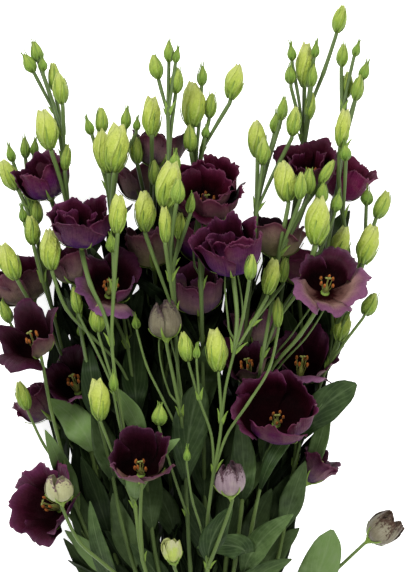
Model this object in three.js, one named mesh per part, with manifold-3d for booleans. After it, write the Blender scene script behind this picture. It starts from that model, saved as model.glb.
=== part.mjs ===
/*
 * A tied bunch of cut lisianthus, lying on its side on a table. Units are millimetres, +Z is up.
 *
 * The stems run along +Y from their cut ends to the highest bud. Sixteen stems pass through one tie near
 * their cut ends, fan out, fork, and carry closed buds and goblet-shaped blooms of five petals.
 *
 * Places are written as (across, down): millimetres to the right of the bunch's left edge, and
 * millimetres below its highest bud, seen from above. The third coordinate, the depth, isn't written
 * down for every point: each stem, bud and bloom has a rough level, and settle() then lifts and lowers
 * them until nothing passes through anything else, as stems in a real bunch bend round each other.
 */
import * as THREE from "three";
import Module from "manifold-3d";

const wasm = await Module();
wasm.setup();
const { Manifold, Mesh } = wasm;

// Driving sizes of the bunch
const LENGTH = 800;
const MIDDLE_ACROSS = 205;
const TIE_DOWN = 728;
const TIE_WIDTH = 14;
const TIE_THICKNESS = 1.6;
const SLOT_PITCH = 5.2;
const TIE_RADIUS = 13.5;
const TIE_SIDES = 16;
const TIE_HEIGHT = (TIE_RADIUS + TIE_THICKNESS) * Math.cos(Math.PI / TIE_SIDES);
const HEAD_TOP = 178;
const STEM_RADIUS = 2.5;
const FORK_RADIUS = 1.5;
const CLEARANCE = 1;
const SEAT_GAP = 0.3;
const FLOOR_GAP = 0.2;
const FLATNESS = 0.3;
const BUD_FULLNESS = 1.1;
const LEAF_FOLD = 0.12;
const LEAF_THICKNESS = 1.8;

// Spacing of the points that a stem or a stalk bends at
const STEM_STEP = 52;
const STALK_STEP = 38;
const PROBE_STEP = 8;

// Colours, as seen on the object
const STEM_GREEN = 0x5d7f45;
const PETAL_PURPLE = 0x3f1430;
const PALE_MAUVE = 0xa99a9c;
const LIME = 0xa9bf4f;
const TIE_COLOUR = 0xb9a67c;

/*
 * Closed buds: [across, down, length, width, lean, level]. Lean is in degrees to the right, and where it
 * is null the bud follows the fan of the bunch. Level runs from 0, lowest, to 1, uppermost, and where it
 * is left out the bud has the level of its stem.
 * Blooms: [across, down, width, depth, lean, tilt, level, shape]. Tilt turns the mouth up, towards +Z.
 * The first head of each stem is the one that the stem itself ends in.
 */
const BUD = "bud";
const STEMS = [
  {
    level: 0.55,
    slot: [-1, 1],
    route: [[134, 570], [112, 475], [91, 385], [75, 295], [68, 215], [62, 150], [50, 95]],
    buds: [
      [35, 50, 20, 12, -14],
      [60, 88, 30, 15, -8, 0.7],
      [53, 76, 28, 12, -6, 0.45],
      [28, 62, 20, 12, -28],
      [42, 63, 13, 9, -4],
      [66, 157, 25, 10, 6, 0.6],
      [46, 130, 38, 21, -14, 0.8],
    ],
    blooms: [
      [42, 176, 54, 44, -20, 12, 0.5, "goblet"],
      [70, 262, 40, 40, -14, 6, 0.6, "goblet"],
      [60, 487, 26, 28, -8, 20, 0.9, "halfopen"],
    ],
  },
  {
    level: 0.3,
    slot: [-1.5, 0],
    route: [[120, 575], [97, 480], [74, 400], [55, 325], [42, 265], [29, 205]],
    buds: [
      [23, 146, 20, 10, -4],
      [9, 152, 16, 9, -16],
      [33, 146, 15, 8, 4],
      [8, 174, 32, 18, -30, 0.4],
      [31, 230, 28, 16, -8, 0.65],
      [35, 211, 24, 13, -2, 0.5],
      [22, 214, 14, 8, -10],
      [9, 262, 36, 20, -24, 0.7],
      [4, 312, 22, 12, -24, 0.5],
      [80, 330, 12, 8, -6, 0.3],
    ],
    blooms: [
      [20, 279, 62, 46, -28, 12, 0, "goblet"],
      [72, 379, 56, 40, -20, 40, 0.42, "flared"],
      [36, 403, 46, 36, -40, 6, 0, "goblet"],
    ],
  },
  {
    level: 0.4,
    slot: [-2, 1],
    route: [[142, 640], [108, 580], [86, 535], [70, 490], [56, 430], [43, 380]],
    buds: [
      [22, 396, 28, 14, -18, 0.6],
    ],
    blooms: [
      [31, 336, 62, 44, -24, 35, 0.5, "flared"],
      [46, 505, 76, 42, -68, 48, 0.42, "flared"],
    ],
    terminal: "bloom",
  },
  {
    level: 0.6,
    slot: [-1.5, 2],
    route: [[157, 565], [145, 465], [131, 370], [119, 285], [111, 215], [104, 160]],
    buds: [
      [101, 120, 25, 13, -2],
      [89, 126, 16, 9, -18],
      [105, 152, 42, 20, -10, 0.6],
      [117, 149, 46, 24, 6, 0.75],
      [126, 118, 20, 10, 4],
      [137, 124, 12, 7, 6],
      [51, 250, 38, 20, -4, 0.8],
    ],
    blooms: [
      [110, 283, 66, 38, 6, 46, 0.8, "flared"],
    ],
  },
  {
    level: 0.8,
    slot: [-1, 3],
    route: [[145, 570], [133, 485], [120, 405], [112, 335], [117, 262]],
    buds: [
      [119, 215, 36, 17, 2],
      [112, 243, 17, 12, -8],
      [76, 300, 26, 11, -12, 0.7],
      [97, 318, 26, 16, -6, 0.75],
      [114, 381, 18, 9, 0, 0.9],
      [99, 399, 40, 20, -6, 0.95],
    ],
    blooms: [
      [81, 221, 66, 50, -2, 26, 0.76, "goblet"],
      [140, 456, 58, 44, -4, 34, 0.85, "goblet"],
    ],
  },
  {
    level: 0.22,
    slot: [-0.5, 0],
    route: [[176, 565], [170, 465], [162, 365], [156, 285], [152, 210], [152, 150]],
    buds: [
      [152, 117, 38, 18, 0],
      [136, 149, 28, 13, -6],
      [154, 172, 24, 11, -2, 0.45],
    ],
    blooms: [
      [158, 146, 50, 40, 6, 4, 0.2, "goblet"],
      [139, 178, 44, 42, -14, 6, 0.1, "goblet"],
      [150, 244, 50, 44, -8, 8, 0.3, "goblet"],
      [205, 240, 58, 46, 12, -8, 0, "goblet"],
    ],
  },
  {
    level: 0.72,
    slot: [-0.5, 2],
    route: [[190, 565], [185, 465], [178, 370], [174, 285], [171, 215], [169, 150], [168, 95]],
    buds: [
      [169, 52, 20, 10, 0],
      [156, 67, 24, 14, -12],
      [177, 56, 14, 7, 10],
      [177, 81, 24, 13, 6],
      [175, 162, 18, 11, 2],
      [145, 212, 38, 20, -2, 0.85],
      [169, 186, 44, 24, 8, 0.75],
      [165, 225, 34, 12, -2, 0.85],
      [180, 226, 26, 13, 4, 0.85],
      [191, 204, 19, 9, 6],
      [178, 192, 24, 14, 6, 0.95],
      [136, 322, 12, 8, -8, 0.7],
      [160, 414, 20, 15, 2, 0.9],
    ],
    blooms: [
      [165, 316, 36, 42, -4, 10, 0.75, "halfopen"],
      [172, 549, 20, 26, -8, 24, 0.95, "halfopen"],
    ],
  },
  {
    level: 0.5,
    slot: [0, 1],
    route: [[206, 565], [204, 465], [203, 365], [201, 285], [198, 205], [194, 150]],
    buds: [
      [192, 105, 43, 23, -2, 0.7],
      [190, 138, 26, 13, -4, 0.8],
      [202, 75, 19, 10, 2, 0.5],
      [211, 105, 24, 12, 8],
      [206, 131, 12, 8, 8],
      [235, 82, 34, 18, 14],
    ],
    blooms: [
      [207, 188, 74, 46, 0, 38, 0.55, "full"],
      [196, 288, 56, 46, -6, 14, 0.35, "goblet"],
    ],
  },
  {
    level: 0.45,
    slot: [1, 1],
    route: [[226, 565], [234, 465], [242, 370], [250, 285], [256, 215]],
    buds: [
      [257, 139, 35, 18, -2],
      [263, 151, 26, 14, 2, 0.6],
      [276, 122, 20, 11, 8],
      [283, 108, 22, 10, 10],
      [294, 121, 28, 14, 8, 0.6],
    ],
    blooms: [
      [277, 233, 51, 46, 8, 4, 0.35, "goblet"],
      [253, 326, 48, 44, -6, 8, 0.4, "goblet"],
      [247, 363, 48, 40, -6, 30, 0.6, "flared"],
    ],
  },
  {
    level: 0.3,
    slot: [0.5, 0],
    route: [[246, 565], [258, 465], [270, 370], [284, 280], [296, 200], [304, 140]],
    buds: [
      [306, 64, 43, 18, 2],
      [292, 51, 15, 9, -4],
      [291, 73, 18, 11, -2],
      [316, 48, 15, 8, 8],
      [313, 74, 22, 10, 6, 0.3],
      [311, 105, 27, 10, 8, 0.3],
      [341, 17, 27, 14, 14],
    ],
    blooms: [
      [311, 163, 54, 44, 2, 30, 0.5, "full"],
    ],
  },
  {
    level: 0.25,
    slot: [1.5, 0],
    route: [[264, 565], [280, 470], [296, 390], [315, 310], [330, 235], [340, 175], [346, 125]],
    buds: [
      [348, 83, 25, 13, 4],
      [344, 53, 22, 12, 6],
      [358, 47, 14, 8, 18],
      [366, 69, 17, 10, 18],
      [359, 86, 25, 12, 12],
    ],
    blooms: [
      [347, 177, 50, 40, 26, 2, 0, "goblet"],
      [304, 262, 60, 46, 8, -8, 0, "goblet"],
    ],
  },
  {
    level: 0.75,
    slot: [0.5, 2],
    route: [[235, 565], [246, 465], [259, 375], [273, 295], [283, 225]],
    buds: [
      [285, 182, 38, 22, -8],
      [309, 181, 24, 13, 2],
      [327, 172, 26, 10, 30, 0.7],
      [300, 186, 26, 12, 4],
      [318, 222, 46, 24, 6, 0.85],
      [337, 202, 18, 11, 12],
      [322, 193, 20, 12, 10],
    ],
    blooms: [[327, 281, 70, 36, 12, 48, 0.82, "flared"]],
  },
  {
    level: 0.4,
    slot: [2, 1],
    route: [[276, 570], [292, 480], [311, 412], [335, 350], [355, 290], [368, 240]],
    buds: [
      [383, 204, 28, 15, 22],
      [341, 244, 34, 18, 14, 0.6],
      [369, 245, 38, 20, 16, 0.6],
      [368, 196, 16, 12, 4],
      [357, 280, 18, 9, 8, 0.55],
      [371, 304, 24, 15, 26],
      [343, 325, 34, 17, 10, 0.6],
      [343, 128, 36, 14, 8, 0.6],
      [345, 152, 16, 12, -4, 0.6],
    ],
    blooms: [
      [303, 361, 60, 44, 8, 34, 0.65, "flared"],
      [319, 466, 42, 40, 34, 6, 0.1, "flared"],
    ],
  },
  {
    level: 0.92,
    slot: [0, 3],
    route: [[208, 600], [207, 530], [214, 470], [221, 427]],
    buds: [
      [216, 350, 40, 20, -6],
      [186, 346, 28, 15, -10],
      [197, 351, 12, 7, 2],
      [250, 267, 24, 12, 6, 0.92],
      [271, 277, 34, 16, 12, 0.85],
      [284, 270, 24, 10, 8, 0.75],
      [278, 312, 28, 10, 0, 0.75],
      [187, 453, 12, 7, 0],
    ],
    blooms: [
      [230, 248, 66, 52, -6, 26, 0.85, "full"],
      [229, 477, 28, 34, -6, 14, 0.95, "halfopen"],
    ],
  },
  {
    level: 0.86,
    slot: [1, 3],
    route: [[248, 655], [290, 612], [338, 573]],
    buds: [],
    blooms: [[386, 530, 30, 36, 52, 8, 0.4, "halfopen"]],
    terminal: "bloom",
  },
  {
    level: 0.8,
    slot: [1.5, 2],
    route: [[236, 620], [248, 550], [262, 480]],
    buds: [],
    blooms: [
      [278, 406, 76, 52, 6, 46, 0.92, "full"],
    ],
    terminal: "bloom",
  },
];

/* Leaves: [stem number, root across, root down, tip across, tip down, width, level, roll]. */
const LEAVES = [
  [2, 96, 452, 47, 399, 32, 0.7, 12],
  [3, 80, 510, 45, 430, 21, 0.75, -18],
  [3, 122, 600, 90, 501, 19, 0.85, 10],
  [3, 108, 580, 64, 532, 20, 0.4, 20],
  [3, 95, 553, 73, 486, 24, 0.3, -14],
  [7, 186, 480, 200, 383, 34, 0.55, -10],
  [5, 135, 500, 180, 438, 24, 0.7, 16],
  [4, 141, 440, 114, 387, 20, 0.65, 14],
  [13, 306, 440, 357, 384, 32, 0.55, -12],
  [16, 262, 490, 322, 404, 15, 0.75, 24],
  [16, 247, 560, 197, 548, 26, 0.88, 8],
  [14, 207, 560, 232, 506, 26, 0.9, -20],
  [16, 245, 575, 293, 514, 26, 0.85, 10],
  [16, 240, 605, 292, 560, 24, 0.75, -16],
  [15, 290, 612, 333, 531, 36, 0.5, 8],
  [11, 325, 262, 351, 210, 24, 0.2, 10],
  [5, 136, 488, 112, 455, 22, 0.5, -12],
  [8, 206, 560, 182, 486, 28, 0.45, 12],
  [6, 178, 540, 146, 478, 24, 0.3, -10],
  [12, 240, 500, 240, 418, 26, 0.5, 14],
  [11, 274, 525, 303, 470, 24, 0.35, -14],
  [8, 205, 500, 204, 430, 24, 0.3, 10],
  [4, 154, 530, 150, 440, 26, 0.3, -14],
  [9, 228, 545, 226, 465, 26, 0.3, 12],
  [1, 134, 570, 112, 495, 26, 0.25, 14],
  [10, 246, 560, 272, 490, 26, 0.2, -12],
  [2, 125, 600, 78, 560, 24, 0.2, -10],
  [1, 100, 425, 88, 345, 24, 0.25, 10],
  [4, 138, 415, 134, 330, 26, 0.3, -12],
  [6, 168, 430, 158, 345, 28, 0.15, 10],
  [8, 203, 415, 216, 330, 26, 0.25, 12],
  [10, 264, 410, 258, 325, 26, 0.1, -10],
  [11, 300, 388, 284, 306, 26, 0.1, 12],
  [13, 328, 370, 322, 300, 22, 0.2, 12],
  [2, 78, 410, 62, 330, 24, 0.1, 10],
  [9, 234, 480, 250, 400, 26, 0.2, 10],
  [1, 112, 480, 92, 410, 26, 0.2, -8],
  [2, 108, 542, 80, 458, 24, 0.2, 12],
  [13, 284, 530, 306, 462, 24, 0.3, -10],
  [11, 266, 590, 300, 530, 26, 0.25, 10],
  [4, 160, 600, 130, 545, 24, 0.4, -12],
];

const radians = (degrees) => (degrees * Math.PI) / 180;
const mix = (a, b, share) => a + (b - a) * share;
const clamp = (value, low, high) => Math.min(high, Math.max(low, value));

/** A number from 0 to 1 that looks random, and is the same for the same seed. */
function draw(seed) {
  const value = Math.sin(seed * 12.9898) * 43758.5453;
  return value - Math.floor(value);
}

const toPlan = ([across, down]) => [across - MIDDLE_ACROSS, LENGTH - down];

/** How high the bunch reaches over a place in the plan: low at the tie, a dome over the head. */
function roofOver(x, y) {
  const up = clamp((y - (LENGTH - TIE_DOWN)) / 300, 0, 1);
  const swell = up * up * (3 - 2 * up);
  const dome = 1 - 0.5 * Math.pow(Math.abs(x) / 205, 2);
  return mix(2 * TIE_HEIGHT, HEAD_TOP * dome, swell);
}

const heightAt = (x, y, level) => mix(8, roofOver(x, y) - 8, level);

/** The unit vector of a head: lean is in the plan, to the right, and tilt is towards +Z. */
function direction(lean, tilt) {
  const flat = Math.cos(radians(tilt));
  return [Math.sin(radians(lean)) * flat, Math.cos(radians(lean)) * flat, Math.sin(radians(tilt))];
}

/** Points on a smooth line through the given ones, evenly spaced, with the first and last kept. */
function evenly(points, step) {
  const fine = [];
  const at = (i) => points[clamp(i, 0, points.length - 1)];
  for (let i = 0; i < points.length - 1; i++) {
    for (let k = 0; k < 12; k++) {
      const t = k / 12;
      fine.push([0, 1].map((c) => {
        const [a, b, d, e] = [at(i - 1)[c], at(i)[c], at(i + 1)[c], at(i + 2)[c]];
        const cubic = (3 * b - a - 3 * d + e) * t * t * t;
        return 0.5 * (2 * b + (d - a) * t + (2 * a - 5 * b + 4 * d - e) * t * t + cubic);
      }));
    }
  }
  fine.push(points[points.length - 1]);
  const run = [0];
  for (let i = 1; i < fine.length; i++) {
    run.push(run[i - 1] + Math.hypot(fine[i][0] - fine[i - 1][0], fine[i][1] - fine[i - 1][1]));
  }
  const total = run[run.length - 1];
  const count = Math.max(1, Math.round(total / step));
  const even = [];
  for (let k = 0, i = 0; k <= count; k++) {
    const wanted = (total * k) / count;
    while (i < fine.length - 2 && run[i + 1] < wanted) i++;
    const share = (wanted - run[i]) / Math.max(1e-9, run[i + 1] - run[i]);
    even.push([mix(fine[i][0], fine[i + 1][0], share), mix(fine[i][1], fine[i + 1][1], share)]);
  }
  return even;
}

/** Points on a stalk that leaves a stem along its line and arrives along its head's direction. */
function stalkLine(root, rootWay, tip, tipWay, step) {
  const reach = Math.hypot(tip[0] - root[0], tip[1] - root[1]);
  const control = [0, 1].map((c) => root[c] + rootWay[c] * reach * 0.36);
  const arrive = [0, 1].map((c) => tip[c] - tipWay[c] * reach * 0.36);
  const line = [];
  for (let k = 0; k <= 10; k++) {
    const t = k / 10;
    const s = 1 - t;
    line.push([0, 1].map((c) =>
      s * s * s * root[c] + 3 * s * s * t * control[c] + 3 * s * t * t * arrive[c] + t * t * t * tip[c]));
  }
  return evenly(line, step);
}

/* The plan of the bunch: every height is one of the free numbers in `heights`. */
const heights = [];
const strands = [];
const heads = [];
const probes = [];

function newHeight(z, fixed = false) {
  heights.push({ z, home: z, fixed });
  return heights.length - 1;
}

/*
 * The blooms' shapes, as shares of their width. Mouth: radius of the rim. Belly: radius low down. Waist:
 * radius half way up. Lobe: how deep the rim dips between two petals. Step: how far one petal's edge
 * stands out over the next. Open: seen far enough in for its pistil to show.
 */
const SHAPES = {
  goblet: { mouth: 0.5, belly: 0.46, waist: 0.42, lobe: 0.16, step: 0.07, open: false },
  full: { mouth: 0.5, belly: 0.5, waist: 0.4, lobe: 0.14, step: 0.1, open: false },
  flared: { mouth: 0.52, belly: 0.34, waist: 0.26, lobe: 0.24, step: 0.08, open: true },
  halfopen: { mouth: 0.26, belly: 0.55, waist: 0.56, lobe: 0.2, step: 0.05, open: false },
};

/** A goblet's wall as radius and height, from its foot to its rim, for t from 0 to 1. */
function wallAt(shape, width, depth, t) {
  const s = 1 - t;
  const radius = 3 * s * s * t * shape.belly * width * 1.45
    + 3 * s * t * t * shape.waist * width + t * t * t * shape.mouth * width;
  const height = 3 * s * s * t * 0.06 * depth + 3 * s * t * t * 0.72 * depth + t * t * t * depth;
  return [radius, height];
}

/*
 * Buds as (share of the length, share of the width), between the stalk's neck and the tip. The smallest
 * buds are left to the picture: they take their place while the bunch settles, and aren't built here.
 */
const BUD_PROFILE = [[0.12, 0.41], [0.42, 0.5], [0.78, 0.31]];
const SMALL_BUD_PROFILE = [[0.16, 0.44], [0.58, 0.42]];
const SMALL_BUD = 27;
const SMALLEST_BUD = 18;

/** A bud or bloom, with its base placed so that its middle is where the list says. */
function makeHead(kind, row, stem) {
  const isBud = kind === BUD;
  const [across, down] = row;
  const [x, y] = toPlan([across, down]);
  const length = isBud ? row[2] : row[3];
  const width = isBud ? row[3] * BUD_FULLNESS : row[2];
  const lean = row[4] ?? (across - MIDDLE_ACROSS) * 0.09;
  const tilt = isBud ? mix(-12, 14, draw(across * 3 + down)) : row[5];
  const level = (isBud ? row[5] : row[6]) ?? stem.level;
  const way = direction(lean, tilt);
  const back = isBud ? length * 0.5 : length * 0.52;
  const z = heightAt(x, y, level);
  return {
    kind, length, width, way, lean, tilt, level,
    shape: isBud ? null : row[7],
    seed: across * 7 + down,
    base: [x - way[0] * back, y - way[1] * back],
    height: newHeight(z - way[2] * back),
  };
}

const isBuilt = ({ head }) => head.kind !== BUD || head.length > SMALLEST_BUD;
const stalkRadius = (head) => (head.kind === BUD ? mix(1.0, 1.5, clamp(head.length / 40, 0, 1)) : 1.7);
const neckLength = (head) => (head.kind === BUD ? 4 : 8);

/** Ends a strand in its head: the last two points move up and down with the head. */
function endIn(points, head) {
  const neck = neckLength(head);
  points.push({
    x: head.base[0] - head.way[0] * neck,
    y: head.base[1] - head.way[1] * neck,
    height: head.height,
    offset: -head.way[2] * neck,
  });
  points.push({ x: head.base[0], y: head.base[1], height: head.height, offset: 0 });
}

const neckPoint = (head) => [
  head.base[0] - head.way[0] * neckLength(head),
  head.base[1] - head.way[1] * neckLength(head),
];

/** The stem's own line, from its cut end through the tie and up its route to its first head. */
function growStem(stem, number) {
  const [column, row] = stem.slot;
  const slotX = column * SLOT_PITCH;
  const slotZ = TIE_HEIGHT + (row - 1.3) * SLOT_PITCH * 0.9;
  const points = [
    [LENGTH - 5 * draw(number + 1), 1.35, 1.05],
    [TIE_DOWN + 12, 1, 1],
    [TIE_DOWN - 12, 1, 1],
  ].map(([down, spread, lift]) => ({
    x: slotX * spread,
    y: LENGTH - down,
    height: newHeight(mix(TIE_HEIGHT, slotZ, lift), true),
    offset: 0,
  }));
  const head = stem.heads[0];
  const tieTop = points[2];
  const line = evenly([[tieTop.x, tieTop.y], ...stem.route.map(toPlan), neckPoint(head)], STEM_STEP);
  for (const [x, y] of line.slice(1, -1)) {
    points.push({ x, y, height: newHeight(heightAt(x, y, stem.level)), offset: 0 });
  }
  endIn(points, head);
  const strand = { stem: number, points, head, root: STEM_RADIUS, tip: stalkRadius(head), main: true };
  strands.push(strand);
  return strand;
}

const zOf = (point) => heights[point.height].z + point.offset;

/** Where a head's stalk leaves the stem: the place that asks for a fork of about fifteen degrees. */
function forkFor(head, grown) {
  const tip = neckPoint(head);
  let best = null;
  for (const strand of grown) {
    for (let i = 1; i < strand.points.length - 2; i++) {
      if (strand.main && i < 3) continue;
      const [p, before, after] = [strand.points[i], strand.points[i - 1], strand.points[i + 1]];
      const run = Math.hypot(after.x - before.x, after.y - before.y);
      const way = [(after.x - before.x) / run, (after.y - before.y) / run];
      const [dx, dy] = [tip[0] - p.x, tip[1] - p.y];
      const along = dx * way[0] + dy * way[1];
      const beside = Math.abs(dx * way[1] - dy * way[0]);
      if (along < 24) continue;
      const spread = beside / along - 0.26;
      const cost = spread * spread * 6 + Math.pow(along / 150, 2) * 0.35 + (strand.main ? 0 : 0.08);
      if (!best || cost < best.cost) best = { cost, strand, index: i, way, along };
    }
  }
  return best;
}

function growStalk(head, stem, number, grown) {
  const fork = forkFor(head, grown);
  const at = fork.strand.points[fork.index];
  const line = stalkLine([at.x, at.y], fork.way, neckPoint(head), head.way, STALK_STEP);
  const points = [{ x: at.x, y: at.y, height: at.height, offset: at.offset }];
  const [rootZ, tipZ] = [zOf(at), heights[head.height].z];
  line.slice(1, -1).forEach(([x, y], k) => {
    const share = (k + 1) / (line.length - 1);
    points.push({ x, y, height: newHeight(mix(rootZ, tipZ, share * share * (3 - 2 * share))), offset: 0 });
  });
  endIn(points, head);
  const strand = {
    stem: number, points, head, main: false,
    root: head.kind === BUD ? Math.min(FORK_RADIUS, stalkRadius(head) * 1.15) : 2,
    tip: stalkRadius(head),
  };
  strands.push(strand);
  if (isBuilt(strand)) grown.push(strand);
}

STEMS.forEach((stem, index) => {
  const number = index + 1;
  const buds = stem.buds.map((row) => makeHead(BUD, row, stem));
  const blooms = stem.blooms.map((row) => makeHead("bloom", row, stem));
  stem.heads = stem.terminal === "bloom" ? [blooms[0], ...buds, ...blooms.slice(1)] : [...buds, ...blooms];
  const grown = [growStem(stem, number)];
  for (const head of stem.heads.slice(1)) growStalk(head, stem, number, grown);
  stem.heads.forEach((head) => {
    head.stem = number;
    heads.push(head);
  });
});

/** A leaf's midrib: rooted on the nearest point of its stem, with its own bends out to the tip. */
function growLeaf([number, rootAcross, rootDown, tipAcross, tipDown, width, level, roll], index) {
  const root = toPlan([rootAcross, rootDown]);
  const tip = toPlan([tipAcross, tipDown]);
  let best = null;
  for (const strand of strands.filter((s) => s.stem === number)) {
    for (let i = strand.main ? 2 : 0; i < strand.points.length - 2; i++) {
      const [a, b] = [strand.points[i], strand.points[i + 1]];
      const [dx, dy] = [b.x - a.x, b.y - a.y];
      const share = clamp(((root[0] - a.x) * dx + (root[1] - a.y) * dy) / (dx * dx + dy * dy), 0.05, 0.95);
      const gap = Math.hypot(a.x + dx * share - root[0], a.y + dy * share - root[1]);
      if (!best || gap < best.gap) best = { gap, a, b, share, dx, dy };
    }
  }
  const start = [best.a.x + best.dx * best.share, best.a.y + best.dy * best.share];
  const run = Math.hypot(best.dx, best.dy);
  const reach = Math.hypot(tip[0] - start[0], tip[1] - start[1]);
  const bend = [0, 1].map((c) => start[c] + ([best.dx, best.dy][c] / run) * reach * 0.42);
  const midrib = [];
  for (let k = 0; k <= 4; k++) {
    const t = k / 4;
    const [x, y] = [0, 1].map((c) =>
      (1 - t) * (1 - t) * start[c] + 2 * (1 - t) * t * bend[c] + t * t * tip[c]);
    const rootZ = mix(zOf(best.a), zOf(best.b), best.share);
    const z = mix(rootZ, heightAt(tip[0], tip[1], level), t * t * (3 - 2 * t));
    if (k === 0) midrib.push({ x, y, from: best });
    else midrib.push({ x, y, height: newHeight(z), offset: 0 });
  }
  return { stem: number, midrib, width, level, roll: radians(roll), index };
}

const leaves = LEAVES.map(growLeaf);

/** A round probe: a place whose distance from other probes is watched while the bunch settles. */
function probe(x, y, offset, radius, owners, tags) {
  const mass = owners.reduce((sum, [, w]) => sum + w * w, 0);
  const body = `${tags.strand}${tags.thin ? "line" : ""}`;
  probes.push({ x, y, offset, radius, owners, mass, body, ...tags });
}

function probeStrand(strand, id) {
  const tags = { stem: strand.stem, strand: id, level: STEMS[strand.stem - 1].level, thin: true };
  strand.points.slice(0, -1).forEach((a, i) => {
    const b = strand.points[i + 1];
    const run = Math.hypot(b.x - a.x, b.y - a.y);
    const count = Math.max(1, Math.ceil(run / PROBE_STEP));
    const shareAlong = (k) => (i + k / count) / (strand.points.length - 1);
    for (let k = 0; k < count; k++) {
      const share = k / count;
      const radius = mix(strand.root, strand.tip, shareAlong(k)) + 0.1;
      const owners = [[a.height, 1 - share], [b.height, share]];
      probe(mix(a.x, b.x, share), mix(a.y, b.y, share), mix(a.offset, b.offset, share), radius, owners, tags);
    }
  });
}

/** Three directions at right angles: to the left of a head, up from it, and along it. */
function axes(way) {
  const along = new THREE.Vector3(...way);
  const side = new THREE.Vector3(-way[1], way[0], 0).normalize();
  return [side, new THREE.Vector3().crossVectors(along, side), along];
}

function probeHead(head, strandId) {
  const { length, width, way, base } = head;
  const put = (side, up, along, radius) => {
    const [s, u, w] = axes(way);
    const at = new THREE.Vector3().addScaledVector(s, side).addScaledVector(u, up).addScaledVector(w, along);
    probe(base[0] + at.x, base[1] + at.y, at.z, radius, [[head.height, 1]],
      { stem: head.stem, strand: strandId, level: head.level, bloom: head.kind !== BUD });
  };
  if (head.kind === BUD) {
    put(0, 0, length * 0.25, width * 0.47);
    put(0, 0, length * 0.5, width * 0.5);
    put(0, 0, length * 0.78, width * 0.34);
    put(0, 0, length * 0.95, width * 0.16);
    return;
  }
  const shape = SHAPES[head.shape];
  put(0, 0, length * 0.12, width * 0.16);
  for (const t of [0.3, 0.6, 0.94]) {
    const [radius, along] = wallAt(shape, width, length, t);
    for (let k = 0; k < 12; k++) {
      const angle = (k * Math.PI) / 6;
      put(Math.cos(angle) * radius * 0.8, Math.sin(angle) * radius * 0.8, along, radius * 0.3);
    }
  }
}

const LEAF_PROFILE = [0.16, 0.78, 1, 0.72, 0.06];
const LEAF_SAMPLES = 3;

function probeLeaf(leaf) {
  for (let k = 1; k <= 4; k++) {
    const [a, b] = [leaf.midrib[k - 1], leaf.midrib[k]];
    const run = Math.hypot(b.x - a.x, b.y - a.y);
    const side = [(b.y - a.y) / run, -(b.x - a.x) / run];
    for (let step = k > 1 ? 1 : LEAF_SAMPLES; step <= LEAF_SAMPLES; step++) {
      const share = step / LEAF_SAMPLES;
      const half = (leaf.width / 2) * mix(LEAF_PROFILE[k - 1], LEAF_PROFILE[k], share);
      const across = Math.ceil(half / 4);
      const owners = k > 1 && share < 1 ? [[a.height, 1 - share], [b.height, share]] : [[b.height, 1]];
      for (let j = -across; j <= across; j++) {
        const off = (half * j) / across;
        const flat = off * Math.cos(leaf.roll);
        const lift = off * Math.sin(leaf.roll) + Math.abs(off) * LEAF_FOLD;
        probe(mix(a.x, b.x, share) + side[0] * flat, mix(a.y, b.y, share) + side[1] * flat, lift, 2, owners,
          { stem: leaf.stem, strand: `leaf${leaf.index}`, level: leaf.level, leaf: true });
      }
    }
  }
}

strands.forEach(probeStrand);
strands.forEach((strand, id) => probeHead(strand.head, id));
leaves.forEach(probeLeaf);

const heightOf = (p) => p.owners.reduce((sum, [h, w]) => sum + heights[h].z * w, p.offset);

/** Pairs of probes that are close in the plan, each with the height that has to be between them. */
function closePairs() {
  const pairs = [];
  for (let i = 0; i < probes.length; i++) {
    for (let j = i + 1; j < probes.length; j++) {
      const [a, b] = [probes[i], probes[j]];
      if (a.strand === b.strand) continue;
      if (a.stem === b.stem && !a.bloom && !b.bloom && (a.thin || b.thin)) continue;
      const reach = a.radius + b.radius + CLEARANCE;
      const flat = (a.x - b.x) ** 2 + (a.y - b.y) ** 2;
      if (flat < reach * reach) pairs.push({ i, j, need: Math.sqrt(reach * reach - flat) });
    }
  }
  return pairs;
}

/**
 * How high a thing lies among the others of its own stem. Buds and leaves go with the stem, so that a bloom
 * has its stem's whole growth on one side.
 */
const rank = (p) => (p.bloom ? p.level + 0.001 : STEMS[p.stem - 1].level);

/**
 * Which of two close things lies over the other. Between two stems it is everything on the upper one. On
 * one stem it is the bloom with the higher level, or the bud or leaf with the higher level.
 */
function setOrder(pairs) {
  for (const pair of pairs) {
    const [a, b] = [probes[pair.i], probes[pair.j]];
    const ranked = rank(b) - rank(a);
    const inside = a.bloom || b.bloom ? ranked : b.level - a.level;
    const rise = a.stem === b.stem ? inside : STEMS[b.stem - 1].level - STEMS[a.stem - 1].level;
    pair.way = (rise || b.stem - a.stem || 1) > 0 ? 1 : -1;
  }
}

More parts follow.
